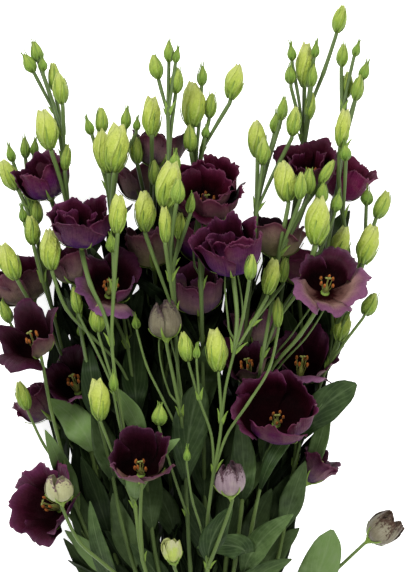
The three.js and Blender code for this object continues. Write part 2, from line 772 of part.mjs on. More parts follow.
/** Lifts and lowers the free heights until close pairs are apart and every line is a smooth bend. */
function settle(rounds) {
  const pairs = closePairs();
  setOrder(pairs);
  for (let round = 0; round < rounds; round++) {
    const loose = round < rounds * 0.75;
    const up = new Float64Array(heights.length);
    const down = new Float64Array(heights.length);
    const push = (p, amount) => {
      for (const [h, w] of p.owners) {
        const move = (amount * w) / p.mass;
        if (move > 0) up[h] = Math.max(up[h], move);
        else down[h] = Math.min(down[h], move);
      }
    };
    const level = probes.map(heightOf);
    for (const { i, j, need, way } of pairs) {
      const lack = need - way * (level[j] - level[i]);
      if (lack <= 0) continue;
      push(probes[j], way * lack * 0.5);
      push(probes[i], -way * lack * 0.5);
    }
    probes.forEach((p, i) => {
      const clear = p.bloom ? FLOOR_GAP : FLOOR_GAP + 3;
      if (level[i] - p.radius < clear) push(p, clear - level[i] + p.radius);
    });
    const smooth = new Map();
    for (const { points } of strands) {
      for (let i = 1; i < points.length - 2; i++) {
        const middle = 0.5 * (zOf(points[i - 1]) + zOf(points[i + 1]));
        smooth.set(points[i].height, (middle - zOf(points[i])) * (loose ? 0.15 : 0));
      }
    }
    heights.forEach((h, k) => {
      if (h.fixed) return;
      h.z += (up[k] + down[k]) * 0.8 + (smooth.get(k) ?? 0) + (h.home - h.z) * (loose ? 0.01 : 0);
    });
  }
}

const SETTLE_ROUNDS = 400;
settle(SETTLE_ROUNDS);

/** A closed solid from rings of points: quads between rings, and a flat or pointed cap at each end. */
function solidFromRings(rings, apex = null) {
  const sides = rings[0].length;
  const positions = rings.flat();
  const faces = [];
  for (let r = 0; r + 1 < rings.length; r++) {
    for (let k = 0; k < sides; k++) {
      const [a, b] = [r * sides + k, r * sides + ((k + 1) % sides)];
      faces.push([a, b, b + sides], [a, b + sides, a + sides]);
    }
  }
  for (let k = 1; k + 1 < sides; k++) faces.push([0, k + 1, k]);
  const last = (rings.length - 1) * sides;
  if (apex) {
    positions.push(apex);
    for (let k = 0; k < sides; k++) faces.push([last + k, last + ((k + 1) % sides), positions.length - 1]);
  } else {
    for (let k = 1; k + 1 < sides; k++) faces.push([last, last + k, last + k + 1]);
  }
  return closedSolid(positions, faces);
}

function closedSolid(positions, faces) {
  const mesh = new Mesh({
    numProp: 3,
    vertProperties: new Float32Array(positions.flat()),
    triVerts: new Uint32Array(faces.flat()),
  });
  const solid = new Manifold(mesh);
  if (solid.volume() > 0) return solid;
  return closedSolid(positions, faces.map(([a, b, c]) => [a, c, b]));
}

/** A ring of points round a place on a line, square to the line's direction. */
function ring(centre, way, radius, sides, turn = 0) {
  const [side, up] = axes(way);
  const points = [];
  for (let k = 0; k < sides; k++) {
    const angle = turn + (2 * Math.PI * k) / sides;
    const p = new THREE.Vector3(...centre)
      .addScaledVector(side, Math.cos(angle) * radius)
      .addScaledVector(up, Math.sin(angle) * radius);
    points.push([p.x, p.y, p.z]);
  }
  return points;
}

const place = (point) => [point.x, point.y, zOf(point)];
const unit = (v) => {
  const size = Math.hypot(...v);
  return v.map((c) => c / size);
};

/** A stem or stalk as one tapering tube, with its bud as the swollen end of the same tube. */
function strandSolid(strand) {
  const { points, head, root, tip } = strand;
  const sides = strand.main || (head.kind === BUD && head.length > SMALL_BUD) ? 5 : 4;
  const line = points.map(place);
  const rings = [];
  for (let i = 0; i < line.length - 1; i++) {
    const [before, after] = [line[Math.max(0, i - 1)], line[i + 1]];
    const way = unit([0, 1, 2].map((c) => after[c] - before[c]));
    const centre = i === 0 && !strand.main ? line[0].map((c, k) => c - way[k] * 0.6) : line[i];
    rings.push(ring(centre, way, mix(root, tip, i / (line.length - 1)), sides));
  }
  const base = line[line.length - 1];
  const along = (distance) => base.map((c, k) => c + head.way[k] * distance);
  if (head.kind !== BUD) {
    rings.push(ring(along(-1.5), head.way, 3.4, sides), ring(along(0), head.way, 3.9, sides));
    return solidFromRings(rings);
  }
  const profile = head.length < SMALL_BUD ? SMALL_BUD_PROFILE : BUD_PROFILE;
  for (const [share, radius] of profile) {
    rings.push(ring(along(share * head.length), head.way, radius * head.width, sides));
  }
  return solidFromRings(rings, along(head.length));
}

/** A leaf: an arched blade, thickest along its midrib, widest at its middle and pointed at its tip. */
function leafSolid(leaf) {
  const line = leaf.midrib.map((p) =>
    p.from ? [p.x, p.y, mix(zOf(p.from.a), zOf(p.from.b), p.from.share)] : place(p));
  const rings = line.slice(0, 4).map((centre, k) => {
    const [before, after] = [line[Math.max(0, k - 1)], line[k + 1]];
    const way = unit([0, 1, 2].map((c) => after[c] - before[c]));
    const flat = unit([way[1], -way[0], 0]);
    const half = Math.max(1.5, (leaf.width / 2) * LEAF_PROFILE[k]);
    const corner = (share, lift) => [
      centre[0] + flat[0] * half * share * Math.cos(leaf.roll),
      centre[1] + flat[1] * half * share * Math.cos(leaf.roll),
      centre[2] + half * share * Math.sin(leaf.roll) + Math.abs(share) * half * LEAF_FOLD + lift,
    ];
    return [corner(-1, 0), corner(0, -LEAF_THICKNESS / 2), corner(1, 0), corner(0, LEAF_THICKNESS / 2)];
  });
  return solidFromRings(rings, line[4]);
}

const PETALS = 5;
const PETAL_THICKNESS = 1.2;

/**
 * A bloom in its own frame, mouth up: one wall of five petals. Along the rim each petal is a rounded
 * lobe, and its right edge stands out over the left edge of the next one.
 */
function bloomSolid(head) {
  const shape = SHAPES[head.shape];
  const perPetal = shape.open ? 4 : 3;
  const count = PETALS * perPetal;
  const rows = [0.34, 0.7, 1];
  const grid = rows.map((t) => {
    const line = [];
    for (let petal = 0; petal < PETALS; petal++) {
      for (let k = 0; k < perPetal; k++) {
        const s = mix(-1, 1, k / (perPetal - 1));
        const reach = t * (1 - shape.lobe * t * Math.abs(s) ** 3);
        const [r, h] = wallAt(shape, head.width, head.length, reach);
        const wave = t * t * head.width * 0.05 * (draw(head.seed + petal * 5 + k) - 0.5);
        const angle = radians(72 * petal + 33.5 * s + 72 * draw(head.seed));
        const out = r + shape.step * head.width * t * s * 0.8 + wave;
        line.push(new THREE.Vector3(Math.cos(angle) * out, Math.sin(angle) * out, h + wave));
      }
    }
    return line;
  });
  const normals = grid.map((line) => line.map(() => new THREE.Vector3()));
  for (let r = 0; r + 1 < rows.length; r++) {
    for (let k = 0; k < count; k++) {
      const corners = [[r, k], [r, (k + 1) % count], [r + 1, (k + 1) % count], [r + 1, k]];
      const p = corners.map(([i, j]) => grid[i][j]);
      const normal = new THREE.Vector3()
        .crossVectors(p[2].clone().sub(p[0]), p[3].clone().sub(p[1]))
        .normalize();
      corners.forEach(([i, j]) => normals[i][j].add(normal));
    }
  }
  const skin = (sign) => grid.flatMap((line, r) => line.map((p, k) =>
    p.clone().addScaledVector(normals[r][k].normalize(), (sign * PETAL_THICKNESS) / 2).toArray()));
  const side = rows.length * count;
  const foot = [[0, 0, 0], [0, 0, PETAL_THICKNESS * 1.4]];
  const positions = [...skin(1), ...skin(-1), ...foot];
  const faces = [];
  for (let k = 0; k < count; k++) {
    const n = (k + 1) % count;
    for (let r = 0; r + 1 < rows.length; r++) {
      const [a, b, c, d] = [r * count + k, r * count + n, (r + 1) * count + n, (r + 1) * count + k];
      faces.push([a, b, c], [a, c, d]);
      faces.push([side + a, side + c, side + b], [side + a, side + d, side + c]);
    }
    const [a, b] = [side - count + k, side - count + n];
    faces.push([a, b, side + b], [a, side + b, side + a]);
    faces.push([n, k, 2 * side], [side + k, side + n, 2 * side + 1]);
  }
  const wall = closedSolid(positions, faces);
  if (!shape.open) return wall;
  const pistil = solidFromRings([
    pistilRing(1, 1.9), pistilRing(head.length * 0.34, 1.2), pistilRing(head.length * 0.46, 2.4),
  ], [0, 0, head.length * 0.52]);
  return wall.add(pistil);
}

function pistilRing(height, radius) {
  return [0, 1, 2, 3].map((k) => [
    Math.cos((k * Math.PI) / 2) * radius, Math.sin((k * Math.PI) / 2) * radius, height,
  ]);
}

function geometryOf(solid) {
  const { vertProperties, triVerts } = solid.getMesh();
  const geometry = new THREE.BufferGeometry();
  geometry.setAttribute("position", new THREE.BufferAttribute(vertProperties, 3));
  geometry.setIndex(new THREE.BufferAttribute(triVerts, 1));
  geometry.computeVertexNormals();
  return geometry;
}

const finish = (color, roughness) => new THREE.MeshStandardMaterial({ color, roughness, metalness: 0 });
const bunch = new THREE.Group();

function addMesh(name, geometry, material) {
  const mesh = new THREE.Mesh(geometry, material);
  mesh.name = name;
  bunch.add(mesh);
  return mesh;
}

const two = (number) => String(number).padStart(2, "0");

// Stems, each with its forks, buds and leaves
STEMS.forEach((stem, index) => {
  const number = index + 1;
  const grown = strands.filter((s) => s.stem === number && isBuilt(s)).map(strandSolid);
  const blades = leaves.filter((leaf) => leaf.stem === number).map(leafSolid);
  const whole = Manifold.union([...grown, ...blades]).asOriginal().simplify(FLATNESS);
  addMesh(`stem_${two(number)}`, geometryOf(whole), finish(STEM_GREEN, 0.6));
});

// Blooms, each seated on the end of its stalk
let bloomNumber = 0;
for (const head of heads) {
  if (head.kind === BUD) continue;
  bloomNumber += 1;
  const colour = head.shape !== "halfopen" ? PETAL_PURPLE : head.width < 26 ? LIME : PALE_MAUVE;
  head.name = `bloom_${two(bloomNumber)}`;
  const mesh = addMesh(head.name, geometryOf(bloomSolid(head)), finish(colour, 0.7));
  const [side, up, along] = axes(head.way);
  mesh.quaternion.setFromRotationMatrix(new THREE.Matrix4().makeBasis(side, up, along));
  mesh.position.set(head.base[0], head.base[1], heights[head.height].z).addScaledVector(along, SEAT_GAP);
}

// The tie round the stems
const tieProfile = [
  [0, 0], [TIE_THICKNESS, 0], [TIE_THICKNESS, TIE_WIDTH], [0, TIE_WIDTH], [0, 0],
].map(([out, along]) => new THREE.Vector2(TIE_RADIUS + out, along - TIE_WIDTH / 2));
const tieRing = new THREE.LatheGeometry(tieProfile, TIE_SIDES, Math.PI / TIE_SIDES);
const tie = addMesh("tie", tieRing, finish(TIE_COLOUR, 0.8));
tie.position.set(0, LENGTH - TIE_DOWN, TIE_HEIGHT);

// The origin is under the middle of the bunch, on the surface that it lies on
const box = new THREE.Box3().setFromObject(bunch, true);
bunch.position.set(-(box.min.x + box.max.x) / 2, -(box.min.y + box.max.y) / 2, -box.min.z);

const part = new THREE.Group();
part.add(bunch);
export default part;
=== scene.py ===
"""The looks of a tied bunch of cut lisianthus: petals, buds, sepals, leaves, stems and twine.

The bunch lies on its side on a pale floor, and the camera looks straight down on it. Places in the tables
are (across, down) in millimetres: to the right of the bunch's left edge, and below its highest bud, seen
from above. Their heights are worked out by letting the bunch settle, as its stems bend round each other.
"""

import logging
import math
from abc import ABC, abstractmethod
from dataclasses import dataclass, field, replace
from enum import Enum, IntEnum
from typing import Any, Sequence

import bpy
import numpy as np
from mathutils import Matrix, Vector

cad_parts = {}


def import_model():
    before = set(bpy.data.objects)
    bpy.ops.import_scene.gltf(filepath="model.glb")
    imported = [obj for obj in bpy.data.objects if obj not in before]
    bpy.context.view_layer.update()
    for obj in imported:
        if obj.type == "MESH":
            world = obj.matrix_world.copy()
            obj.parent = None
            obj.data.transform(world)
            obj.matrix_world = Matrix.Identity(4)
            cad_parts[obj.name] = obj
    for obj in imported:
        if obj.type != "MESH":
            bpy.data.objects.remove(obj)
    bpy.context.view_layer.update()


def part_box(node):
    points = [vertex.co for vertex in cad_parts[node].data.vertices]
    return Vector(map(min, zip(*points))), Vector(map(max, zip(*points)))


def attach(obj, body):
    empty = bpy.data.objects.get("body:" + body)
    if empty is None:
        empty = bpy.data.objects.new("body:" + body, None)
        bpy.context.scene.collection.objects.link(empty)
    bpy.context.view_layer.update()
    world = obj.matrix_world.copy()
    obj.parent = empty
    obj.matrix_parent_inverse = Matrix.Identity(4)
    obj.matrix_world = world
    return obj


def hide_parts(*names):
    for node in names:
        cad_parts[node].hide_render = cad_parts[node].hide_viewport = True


log = logging.getLogger("bunch")
Array = np.ndarray
Row = Sequence[Any]

# Lengths are in millimetres, angles of the tables in degrees, and MM turns millimetres into metres
MM = 0.001
LENGTH = 800.0
MIDDLE_ACROSS = 205.0
HEAD_TOP = 178.0
CREST = 206.5
SWELL_OVER = 300.0
LEVEL_MARGIN = 8.0

TIE_DOWN = 728.0
TIE_WIDTH = 14.0
TIE_THICKNESS = 1.6
TIE_RADIUS = 13.5
TIE_SIDES = 16
TIE_HEIGHT = (TIE_RADIUS + TIE_THICKNESS) * math.cos(math.pi / TIE_SIDES)
SLOT_PITCH = 5.2

STEM_RADIUS = 2.5
FORK_RADIUS = 1.5
BLOOM_FORK_RADIUS = 2.0
STEM_STEP = 52.0
STALK_STEP = 38.0
STALK_HANDLE = 0.36
LINE_STEP = 5.0
FORK_SPREAD = 0.26
NEAREST_FORK = 24.0

BUD_FULLNESS = 1.1
BUD_TILTS = (-12.0, 14.0)
BUD_MIDDLE = 0.5
BLOOM_MIDDLE = 0.52
BELLY_PULL = 1.45
BELLY_RISE = 0.06
WAIST_RISE = 0.72
SMALLEST_BUD = 18.0
SEAT_GAP = 0.3
LEAF_FOLD = 0.12
LEAF_PROFILE = np.array([0.16, 0.78, 1.0, 0.72, 0.06])

PETAL_ANGLE = 72.0

# How the bunch settles: gaps to keep, places that are watched, as shares of a head's length and width, and
# how strongly each round pushes, eases and homes
CLEARANCE = 1.0
FLOOR_GAP = 0.2
HEAD_FLOOR_GAP = 3.2
PROBE_STEP = 8.0
LEAF_SAMPLES = 3
BUD_PROBES = np.array([[0.25, 0.47], [0.5, 0.5], [0.78, 0.34], [0.95, 0.16]])
BLOOM_FOOT_PROBE = (0.12, 0.16)
BLOOM_RINGS = (0.3, 0.6, 0.94)
SETTLE_ROUNDS = 400
LOOSE_ROUNDS = 300
PUSH = 0.8
EASE = 0.15
HOMING = 0.01


class Kind(Enum):
    """What a head is."""

    BUD = "bud"
    BLOOM = "bloom"


@dataclass(frozen=True)
class Cup:
    """The form of an open bloom, as shares of its width.

    Mouth, belly and waist are the wall's radii at the rim, low down and half way up. Lobe is how deep the
    rim dips between two petals, and step how far one petal's edge stands out over the next. The rest are
    for the looks: how many petals there are, and how many smaller ones inside them, how flat a petal is
    across, how far its rim rolls out, how deep it is ruffled, how far, in radians, the petals nearest the
    picture's foot fold down, and by how many degrees all are turned.
    """

    mouth: float
    belly: float
    waist: float
    lobe: float
    step: float
    inner: int = 0
    flat: float = 0.4
    roll: float = 0.06
    ruffle: float = 0.035
    petals: int = 5
    fold: float = 0.0
    spin: float = 0.0


GOBLET = Cup(0.5, 0.46, 0.42, 0.16, 0.07, 3, 0.35, 0.09, 0.034)
FULL = Cup(0.5, 0.5, 0.4, 0.14, 0.1, 4, 0.2, 0.1, 0.04)
FLARED = Cup(0.52, 0.34, 0.26, 0.24, 0.08, 0, 0.6, 0.1, 0.03)
HALF_OPEN = Cup(0.26, 0.55, 0.56, 0.2, 0.05, 3, 0.3, 0.03, 0.02)


@dataclass(frozen=True)
class StemPlan:
    """One cut stem: its level in the bunch, its slot in the tie, its route and the heads that it carries.

    Buds are (across, down, length, width, lean, level), blooms (across, down, width, depth, lean, tilt,
    level, cup). A missing level is the stem's own.
    """

    level: float
    slot: tuple[float, float]
    route: Row
    buds: Row
    blooms: Row
    bloom_leads: bool = False


STEMS = [
    StemPlan(
        level=0.55, slot=(-1, 1),
        route=[[134, 570], [112, 475], [91, 385], [75, 295], [68, 215], [62, 150], [50, 95]],
        buds=[
            [35, 50, 20, 12, -14], [60, 88, 30, 15, -8, 0.7], [53, 76, 28, 12, -6, 0.45],
            [28, 62, 20, 12, -28], [42, 63, 13, 9, -4], [66, 157, 25, 10, 6, 0.6],
            [46, 130, 38, 21, -14, 0.8],
        ],
        blooms=[
            [42, 176, 54, 44, -20, 12, 0.5, GOBLET], [70, 262, 40, 40, -14, 6, 0.6, GOBLET],
            [60, 487, 26, 28, -8, 20, 0.9, HALF_OPEN],
        ],
    ),
    StemPlan(
        level=0.3, slot=(-1.5, 0),
        route=[[120, 575], [97, 480], [74, 400], [55, 325], [42, 265], [29, 205]],
        buds=[
            [23, 146, 20, 10, -4], [9, 152, 16, 9, -16], [33, 146, 15, 8, 4], [8, 174, 32, 18, -30, 0.4],
            [31, 230, 28, 16, -8, 0.65], [35, 211, 24, 13, -2, 0.5], [22, 214, 14, 8, -10],
            [9, 262, 36, 20, -24, 0.7], [4, 312, 22, 12, -24, 0.5], [80, 330, 12, 8, -6, 0.3],
        ],
        blooms=[
            [20, 279, 62, 46, -28, 12, 0, GOBLET], [72, 379, 56, 40, -20, 40, 0.42, FLARED],
            [36, 403, 46, 36, -40, 6, 0, GOBLET],
        ],
    ),
    StemPlan(
        level=0.4, slot=(-2, 1), bloom_leads=True,
        route=[[142, 640], [108, 580], [86, 535], [70, 490], [56, 430], [43, 380]],
        buds=[[22, 396, 28, 14, -18, 0.6]],
        blooms=[[31, 336, 62, 44, -24, 35, 0.5, FLARED], [46, 505, 76, 42, -68, 48, 0.42, FLARED]],
    ),
    StemPlan(
        level=0.6, slot=(-1.5, 2),
        route=[[157, 565], [145, 465], [131, 370], [119, 285], [111, 215], [104, 160]],
        buds=[
            [101, 120, 25, 13, -2], [89, 126, 16, 9, -18], [105, 152, 42, 20, -10, 0.6],
            [117, 149, 46, 24, 6, 0.75], [126, 118, 20, 10, 4], [137, 124, 12, 7, 6],
            [51, 250, 38, 20, -4, 0.8],
        ],
        blooms=[[110, 283, 66, 38, 6, 46, 0.8, FLARED]],
    ),
    StemPlan(
        level=0.8, slot=(-1, 3),
        route=[[145, 570], [133, 485], [120, 405], [112, 335], [117, 262]],
        buds=[
            [119, 215, 36, 17, 2], [112, 243, 17, 12, -8], [76, 300, 26, 11, -12, 0.7],
            [97, 318, 26, 16, -6, 0.75], [114, 381, 18, 9, 0, 0.9], [99, 399, 40, 20, -6, 0.95],
        ],
        blooms=[[81, 221, 66, 50, -2, 26, 0.76, GOBLET], [140, 456, 58, 44, -4, 34, 0.85, GOBLET]],
    ),
    StemPlan(
        level=0.22, slot=(-0.5, 0),
        route=[[176, 565], [170, 465], [162, 365], [156, 285], [152, 210], [152, 150]],
        buds=[[152, 117, 38, 18, 0], [136, 149, 28, 13, -6], [154, 172, 24, 11, -2, 0.45]],
        blooms=[
            [158, 146, 50, 40, 6, 4, 0.2, GOBLET], [139, 178, 44, 42, -14, 6, 0.1, GOBLET],
            [150, 244, 50, 44, -8, 8, 0.3, GOBLET], [205, 240, 58, 46, 12, -8, 0, GOBLET],
        ],
    ),
    StemPlan(
        level=0.72, slot=(-0.5, 2),
        route=[[190, 565], [185, 465], [178, 370], [174, 285], [171, 215], [169, 150], [168, 95]],
        buds=[
            [169, 52, 20, 10, 0], [156, 67, 24, 14, -12], [177, 56, 14, 7, 10], [177, 81, 24, 13, 6],
            [175, 162, 18, 11, 2], [145, 212, 38, 20, -2, 0.85], [169, 186, 44, 24, 8, 0.75],
            [165, 225, 34, 12, -2, 0.85], [180, 226, 26, 13, 4, 0.85], [191, 204, 19, 9, 6],
            [178, 192, 24, 14, 6, 0.95], [136, 322, 12, 8, -8, 0.7], [160, 414, 20, 15, 2, 0.9],
        ],
        blooms=[[165, 316, 36, 42, -4, 10, 0.75, HALF_OPEN], [172, 549, 20, 26, -8, 24, 0.95, HALF_OPEN]],
    ),
    StemPlan(
        level=0.5, slot=(0, 1),
        route=[[206, 565], [204, 465], [203, 365], [201, 285], [198, 205], [194, 150]],
        buds=[
            [192, 105, 43, 23, -2, 0.7], [190, 138, 26, 13, -4, 0.8], [202, 75, 19, 10, 2, 0.5],
            [211, 105, 24, 12, 8], [206, 131, 12, 8, 8], [235, 82, 34, 18, 14],
        ],
        blooms=[[207, 188, 74, 46, 0, 38, 0.55, FULL], [196, 288, 56, 46, -6, 14, 0.35, GOBLET]],
    ),
    StemPlan(
        level=0.45, slot=(1, 1),
        route=[[226, 565], [234, 465], [242, 370], [250, 285], [256, 215]],
        buds=[
            [257, 139, 35, 18, -2], [263, 151, 26, 14, 2, 0.6], [276, 122, 20, 11, 8],
            [283, 108, 22, 10, 10], [294, 121, 28, 14, 8, 0.6],
        ],
        blooms=[
            [277, 233, 51, 46, 8, 4, 0.35, GOBLET], [253, 326, 48, 44, -6, 8, 0.4, GOBLET],
            [247, 363, 48, 40, -6, 30, 0.6, FLARED],
        ],
    ),
    StemPlan(
        level=0.3, slot=(0.5, 0),
        route=[[246, 565], [258, 465], [270, 370], [284, 280], [296, 200], [304, 140]],
        buds=[
            [306, 64, 43, 18, 2], [292, 51, 15, 9, -4], [291, 73, 18, 11, -2], [316, 48, 15, 8, 8],
            [313, 74, 22, 10, 6, 0.3], [311, 105, 27, 10, 8, 0.3], [341, 17, 27, 14, 14],
        ],
        blooms=[[311, 163, 54, 44, 2, 30, 0.5, FULL]],
    ),
    StemPlan(
        level=0.25, slot=(1.5, 0),
        route=[[264, 565], [280, 470], [296, 390], [315, 310], [330, 235], [340, 175], [346, 125]],
        buds=[
            [348, 83, 25, 13, 4], [344, 53, 22, 12, 6], [358, 47, 14, 8, 18], [366, 69, 17, 10, 18],
            [359, 86, 25, 12, 12],
        ],
        blooms=[[347, 177, 50, 40, 26, 2, 0, GOBLET], [304, 262, 60, 46, 8, -8, 0, GOBLET]],
    ),
    StemPlan(
        level=0.75, slot=(0.5, 2),
        route=[[235, 565], [246, 465], [259, 375], [273, 295], [283, 225]],
        buds=[
            [285, 182, 38, 22, -8], [309, 181, 24, 13, 2], [327, 172, 26, 10, 30, 0.7],
            [300, 186, 26, 12, 4], [318, 222, 46, 24, 6, 0.85], [337, 202, 18, 11, 12],
            [322, 193, 20, 12, 10],
        ],
        blooms=[[327, 281, 70, 36, 12, 48, 0.82, FLARED]],
    ),
    StemPlan(
        level=0.4, slot=(2, 1),
        route=[[276, 570], [292, 480], [311, 412], [335, 350], [355, 290], [368, 240]],
        buds=[
            [383, 204, 28, 15, 22], [341, 244, 34, 18, 14, 0.6], [369, 245, 38, 20, 16, 0.6],
            [368, 196, 16, 12, 4], [357, 280, 18, 9, 8, 0.55], [371, 304, 24, 15, 26],
            [343, 325, 34, 17, 10, 0.6], [343, 128, 36, 14, 8, 0.6], [345, 152, 16, 12, -4, 0.6],
        ],
        blooms=[[303, 361, 60, 44, 8, 34, 0.65, FLARED], [319, 466, 42, 40, 34, 6, 0.1, FLARED]],
    ),
    StemPlan(
        level=0.92, slot=(0, 3),
        route=[[208, 600], [207, 530], [214, 470], [221, 427]],
        buds=[
            [216, 350, 40, 20, -6], [186, 346, 28, 15, -10], [197, 351, 12, 7, 2],
            [250, 267, 24, 12, 6, 0.92], [271, 277, 34, 16, 12, 0.85], [284, 270, 24, 10, 8, 0.75],
            [278, 312, 28, 10, 0, 0.75], [187, 453, 12, 7, 0],
        ],
        blooms=[[230, 248, 66, 52, -6, 26, 0.85, FULL], [229, 477, 28, 34, -6, 14, 0.95, HALF_OPEN]],
    ),
    StemPlan(
        level=0.86, slot=(1, 3), bloom_leads=True,
        route=[[248, 655], [290, 612], [338, 573]],
        buds=[],
        blooms=[[386, 530, 30, 36, 52, 8, 0.4, HALF_OPEN]],
    ),
    StemPlan(
        level=0.8, slot=(1.5, 2), bloom_leads=True,
        route=[[236, 620], [248, 550], [262, 480]],
        buds=[],
        blooms=[[278, 406, 76, 52, 6, 46, 0.92, FULL]],
    ),
]

# Leaves: stem, root, tip, width, level and roll in degrees
LEAVES = [
    [2, 96, 452, 47, 399, 32, 0.7, 12], [3, 80, 510, 45, 430, 21, 0.75, -18],
    [3, 122, 600, 90, 501, 19, 0.85, 10], [3, 108, 580, 64, 532, 20, 0.4, 20],
    [3, 95, 553, 73, 486, 24, 0.3, -14], [7, 186, 480, 200, 383, 34, 0.55, -10],
    [5, 135, 500, 180, 438, 24, 0.7, 16], [4, 141, 440, 114, 387, 20, 0.65, 14],
    [13, 306, 440, 357, 384, 32, 0.55, -12], [16, 262, 490, 322, 404, 15, 0.75, 24],
    [16, 247, 560, 197, 548, 26, 0.88, 8], [14, 207, 560, 232, 506, 26, 0.9, -20],
    [16, 245, 575, 293, 514, 26, 0.85, 10], [16, 240, 605, 292, 560, 24, 0.75, -16],
    [15, 290, 612, 333, 531, 36, 0.5, 8], [11, 325, 262, 351, 210, 24, 0.2, 10],
    [5, 136, 488, 112, 455, 22, 0.5, -12], [8, 206, 560, 182, 486, 28, 0.45, 12],
    [6, 178, 540, 146, 478, 24, 0.3, -10], [12, 240, 500, 240, 418, 26, 0.5, 14],
    [11, 274, 525, 303, 470, 24, 0.35, -14], [8, 205, 500, 204, 430, 24, 0.3, 10],
    [4, 154, 530, 150, 440, 26, 0.3, -14], [9, 228, 545, 226, 465, 26, 0.3, 12],
    [1, 134, 570, 112, 495, 26, 0.25, 14], [10, 246, 560, 272, 490, 26, 0.2, -12],
    [2, 125, 600, 78, 560, 24, 0.2, -10], [1, 100, 425, 88, 345, 24, 0.25, 10],
    [4, 138, 415, 134, 330, 26, 0.3, -12], [6, 168, 430, 158, 345, 28, 0.15, 10],
    [8, 203, 415, 216, 330, 26, 0.25, 12], [10, 264, 410, 258, 325, 26, 0.1, -10],
    [11, 300, 388, 284, 306, 26, 0.1, 12], [13, 328, 370, 322, 300, 22, 0.2, 12],
    [2, 78, 410, 62, 330, 24, 0.1, 10], [9, 234, 480, 250, 400, 26, 0.2, 10],
    [1, 112, 480, 92, 410, 26, 0.2, -8], [2, 108, 542, 80, 458, 24, 0.2, 12],
    [13, 284, 530, 306, 462, 24, 0.3, -10], [11, 266, 590, 300, 530, 26, 0.25, 10],
    [4, 160, 600, 130, 545, 24, 0.4, -12],
]


@dataclass
class Point:
    """A point of a stem's line: its place in the plan, and the free height that it hangs on."""

    x: float
    y: float
    height: int
    offset: float = 0.0


@dataclass
class Head:
    """A bud or bloom at the end of a stalk.

    Way is its unit direction and base its foot in the plan. Its foot in space is known once all is settled.
    """

    kind: Kind
    length: float
    width: float
    way: Array
    level: float
    cup: Cup | None
    seed: float
    base: Array
    height: int
    stem: int
    number: int = 0
    foot: Array | None = None

    @property
    def stalk_radius(self) -> float:
        """Radius of the stalk's upper end."""
        return 1.7 if self.kind is Kind.BLOOM else 1.0 + 0.5 * min(1.0, self.length / 40)

    @property
    def neck(self) -> float:
        """Length of the straight end of the stalk under the head."""
        return 4.0 if self.kind is Kind.BUD else 8.0

    @property
    def neck_point(self) -> Array:
        """Where the stalk's straight end begins, in the plan."""
        return self.base - self.way[:2] * self.neck

    @property
    def is_built(self) -> bool:
        """Whether stalks may fork from this head's own stalk."""
        return self.kind is Kind.BLOOM or self.length > SMALLEST_BUD


@dataclass
class Strand:
    """A stem or stalk: the points of its line, from its root to the head at its end.

    Once all is settled, its knots are these points in space, and its line goes through them smoothly.
    """

    stem: int
    points: list[Point]
    head: Head
    root: float
    tip: float
    main: bool = False
    knots: Array | None = None
    line: Array | None = None


@dataclass
class LeafPlan:
    """A leaf's midrib: its root on a strand (two points and a share between them), then its own points.

    Once all is settled, its line is the same in space.
    """

    stem: int
    root: tuple[Point, Point, float]
    start: Array
    midrib: list[Point]
    width: float
    level: float
    roll: float
    index: int
    line: Array | None = None


def draw(seed: float) -> float:
    """A number from 0 to 1 that looks random: the fraction of a large multiple of the seed's sine."""
    value = math.sin(seed * 12.9898) * 43758.5453
    return value - math.floor(value)


def mix(a: Any, b: Any, share: Any) -> Any:
    """The value at a share of the way from a to b."""
    return a + (b - a) * share


def unit(v: Array) -> Array:
    """Each row of v at length one."""
    return v / np.maximum(np.linalg.norm(v, axis=-1, keepdims=True), 1e-12)


def smooth(x: Any) -> Any:
    """3x^2 - 2x^3, held between 0 and 1."""
    x = np.clip(x, 0, 1)
    return x * x * (3 - 2 * x)


def to_plan(place: Sequence[float]) -> Array:
    """A place in the tables as plan coordinates."""
    return np.array([place[0] - MIDDLE_ACROSS, LENGTH - place[1]], float)


def spline(values: Array, t: Array) -> Array:
    """A smooth curve through evenly spaced values.

    Between two values a, b with neighbours p, q it is half of 2a + (b - p)u + (2p - 5a + 4b - q)u^2
    + (3a - p - 3b + q)u^3.

    Args:
        values: One row for each knot.
        t: Places on the curve, in knots from 0.

    Returns:
        The curve's value at each place.
    """
    values = np.asarray(values, float)
    last = len(values) - 1
    i = np.clip(np.floor(t).astype(int), 0, last - 1)
    u = t - i
    if values.ndim > 1:
        u = u[..., None]
    p, a, b, q = (values[np.clip(i + k, 0, last)] for k in (-1, 0, 1, 2))
    bend = 2 * p - 5 * a + 4 * b - q
    return 0.5 * (2 * a + (b - p) * u + bend * u * u + (3 * a - p - 3 * b + q) * u**3)


def evenly(points: Array, step: float) -> Array:
    """Points on a smooth line through the given ones, evenly spaced, with the first and last kept.

    Args:
        points: The given points.
        step: About how far apart they are wanted.

    Returns:
        The points, one a row.
    """
    points, parts = np.asarray(points, float), 12
    fine = spline(points, np.arange((len(points) - 1) * parts) / parts)
    fine = np.vstack([fine, points[-1]])
    run = np.concatenate([[0], np.cumsum(np.linalg.norm(np.diff(fine, axis=0), axis=1))])
    count = max(1, math.floor(run[-1] / step + 0.5))
    wanted = run[-1] * np.arange(count + 1) / count
    return np.stack([np.interp(wanted, run, fine[:, c]) for c in range(fine.shape[1])], axis=1)


def roof_over(x: float, y: float) -> float:
    """How high the bunch reaches over a place: low at the tie, a dome over the head.

    Args:
        x: Place across.
        y: Place along.

    Returns:
        The height in millimetres.
    """
    swell = smooth((y - (LENGTH - TIE_DOWN)) / SWELL_OVER)
    dome = 1 - 0.5 * (abs(x) / MIDDLE_ACROSS) ** 2
    return mix(2 * TIE_HEIGHT, HEAD_TOP * dome, swell)


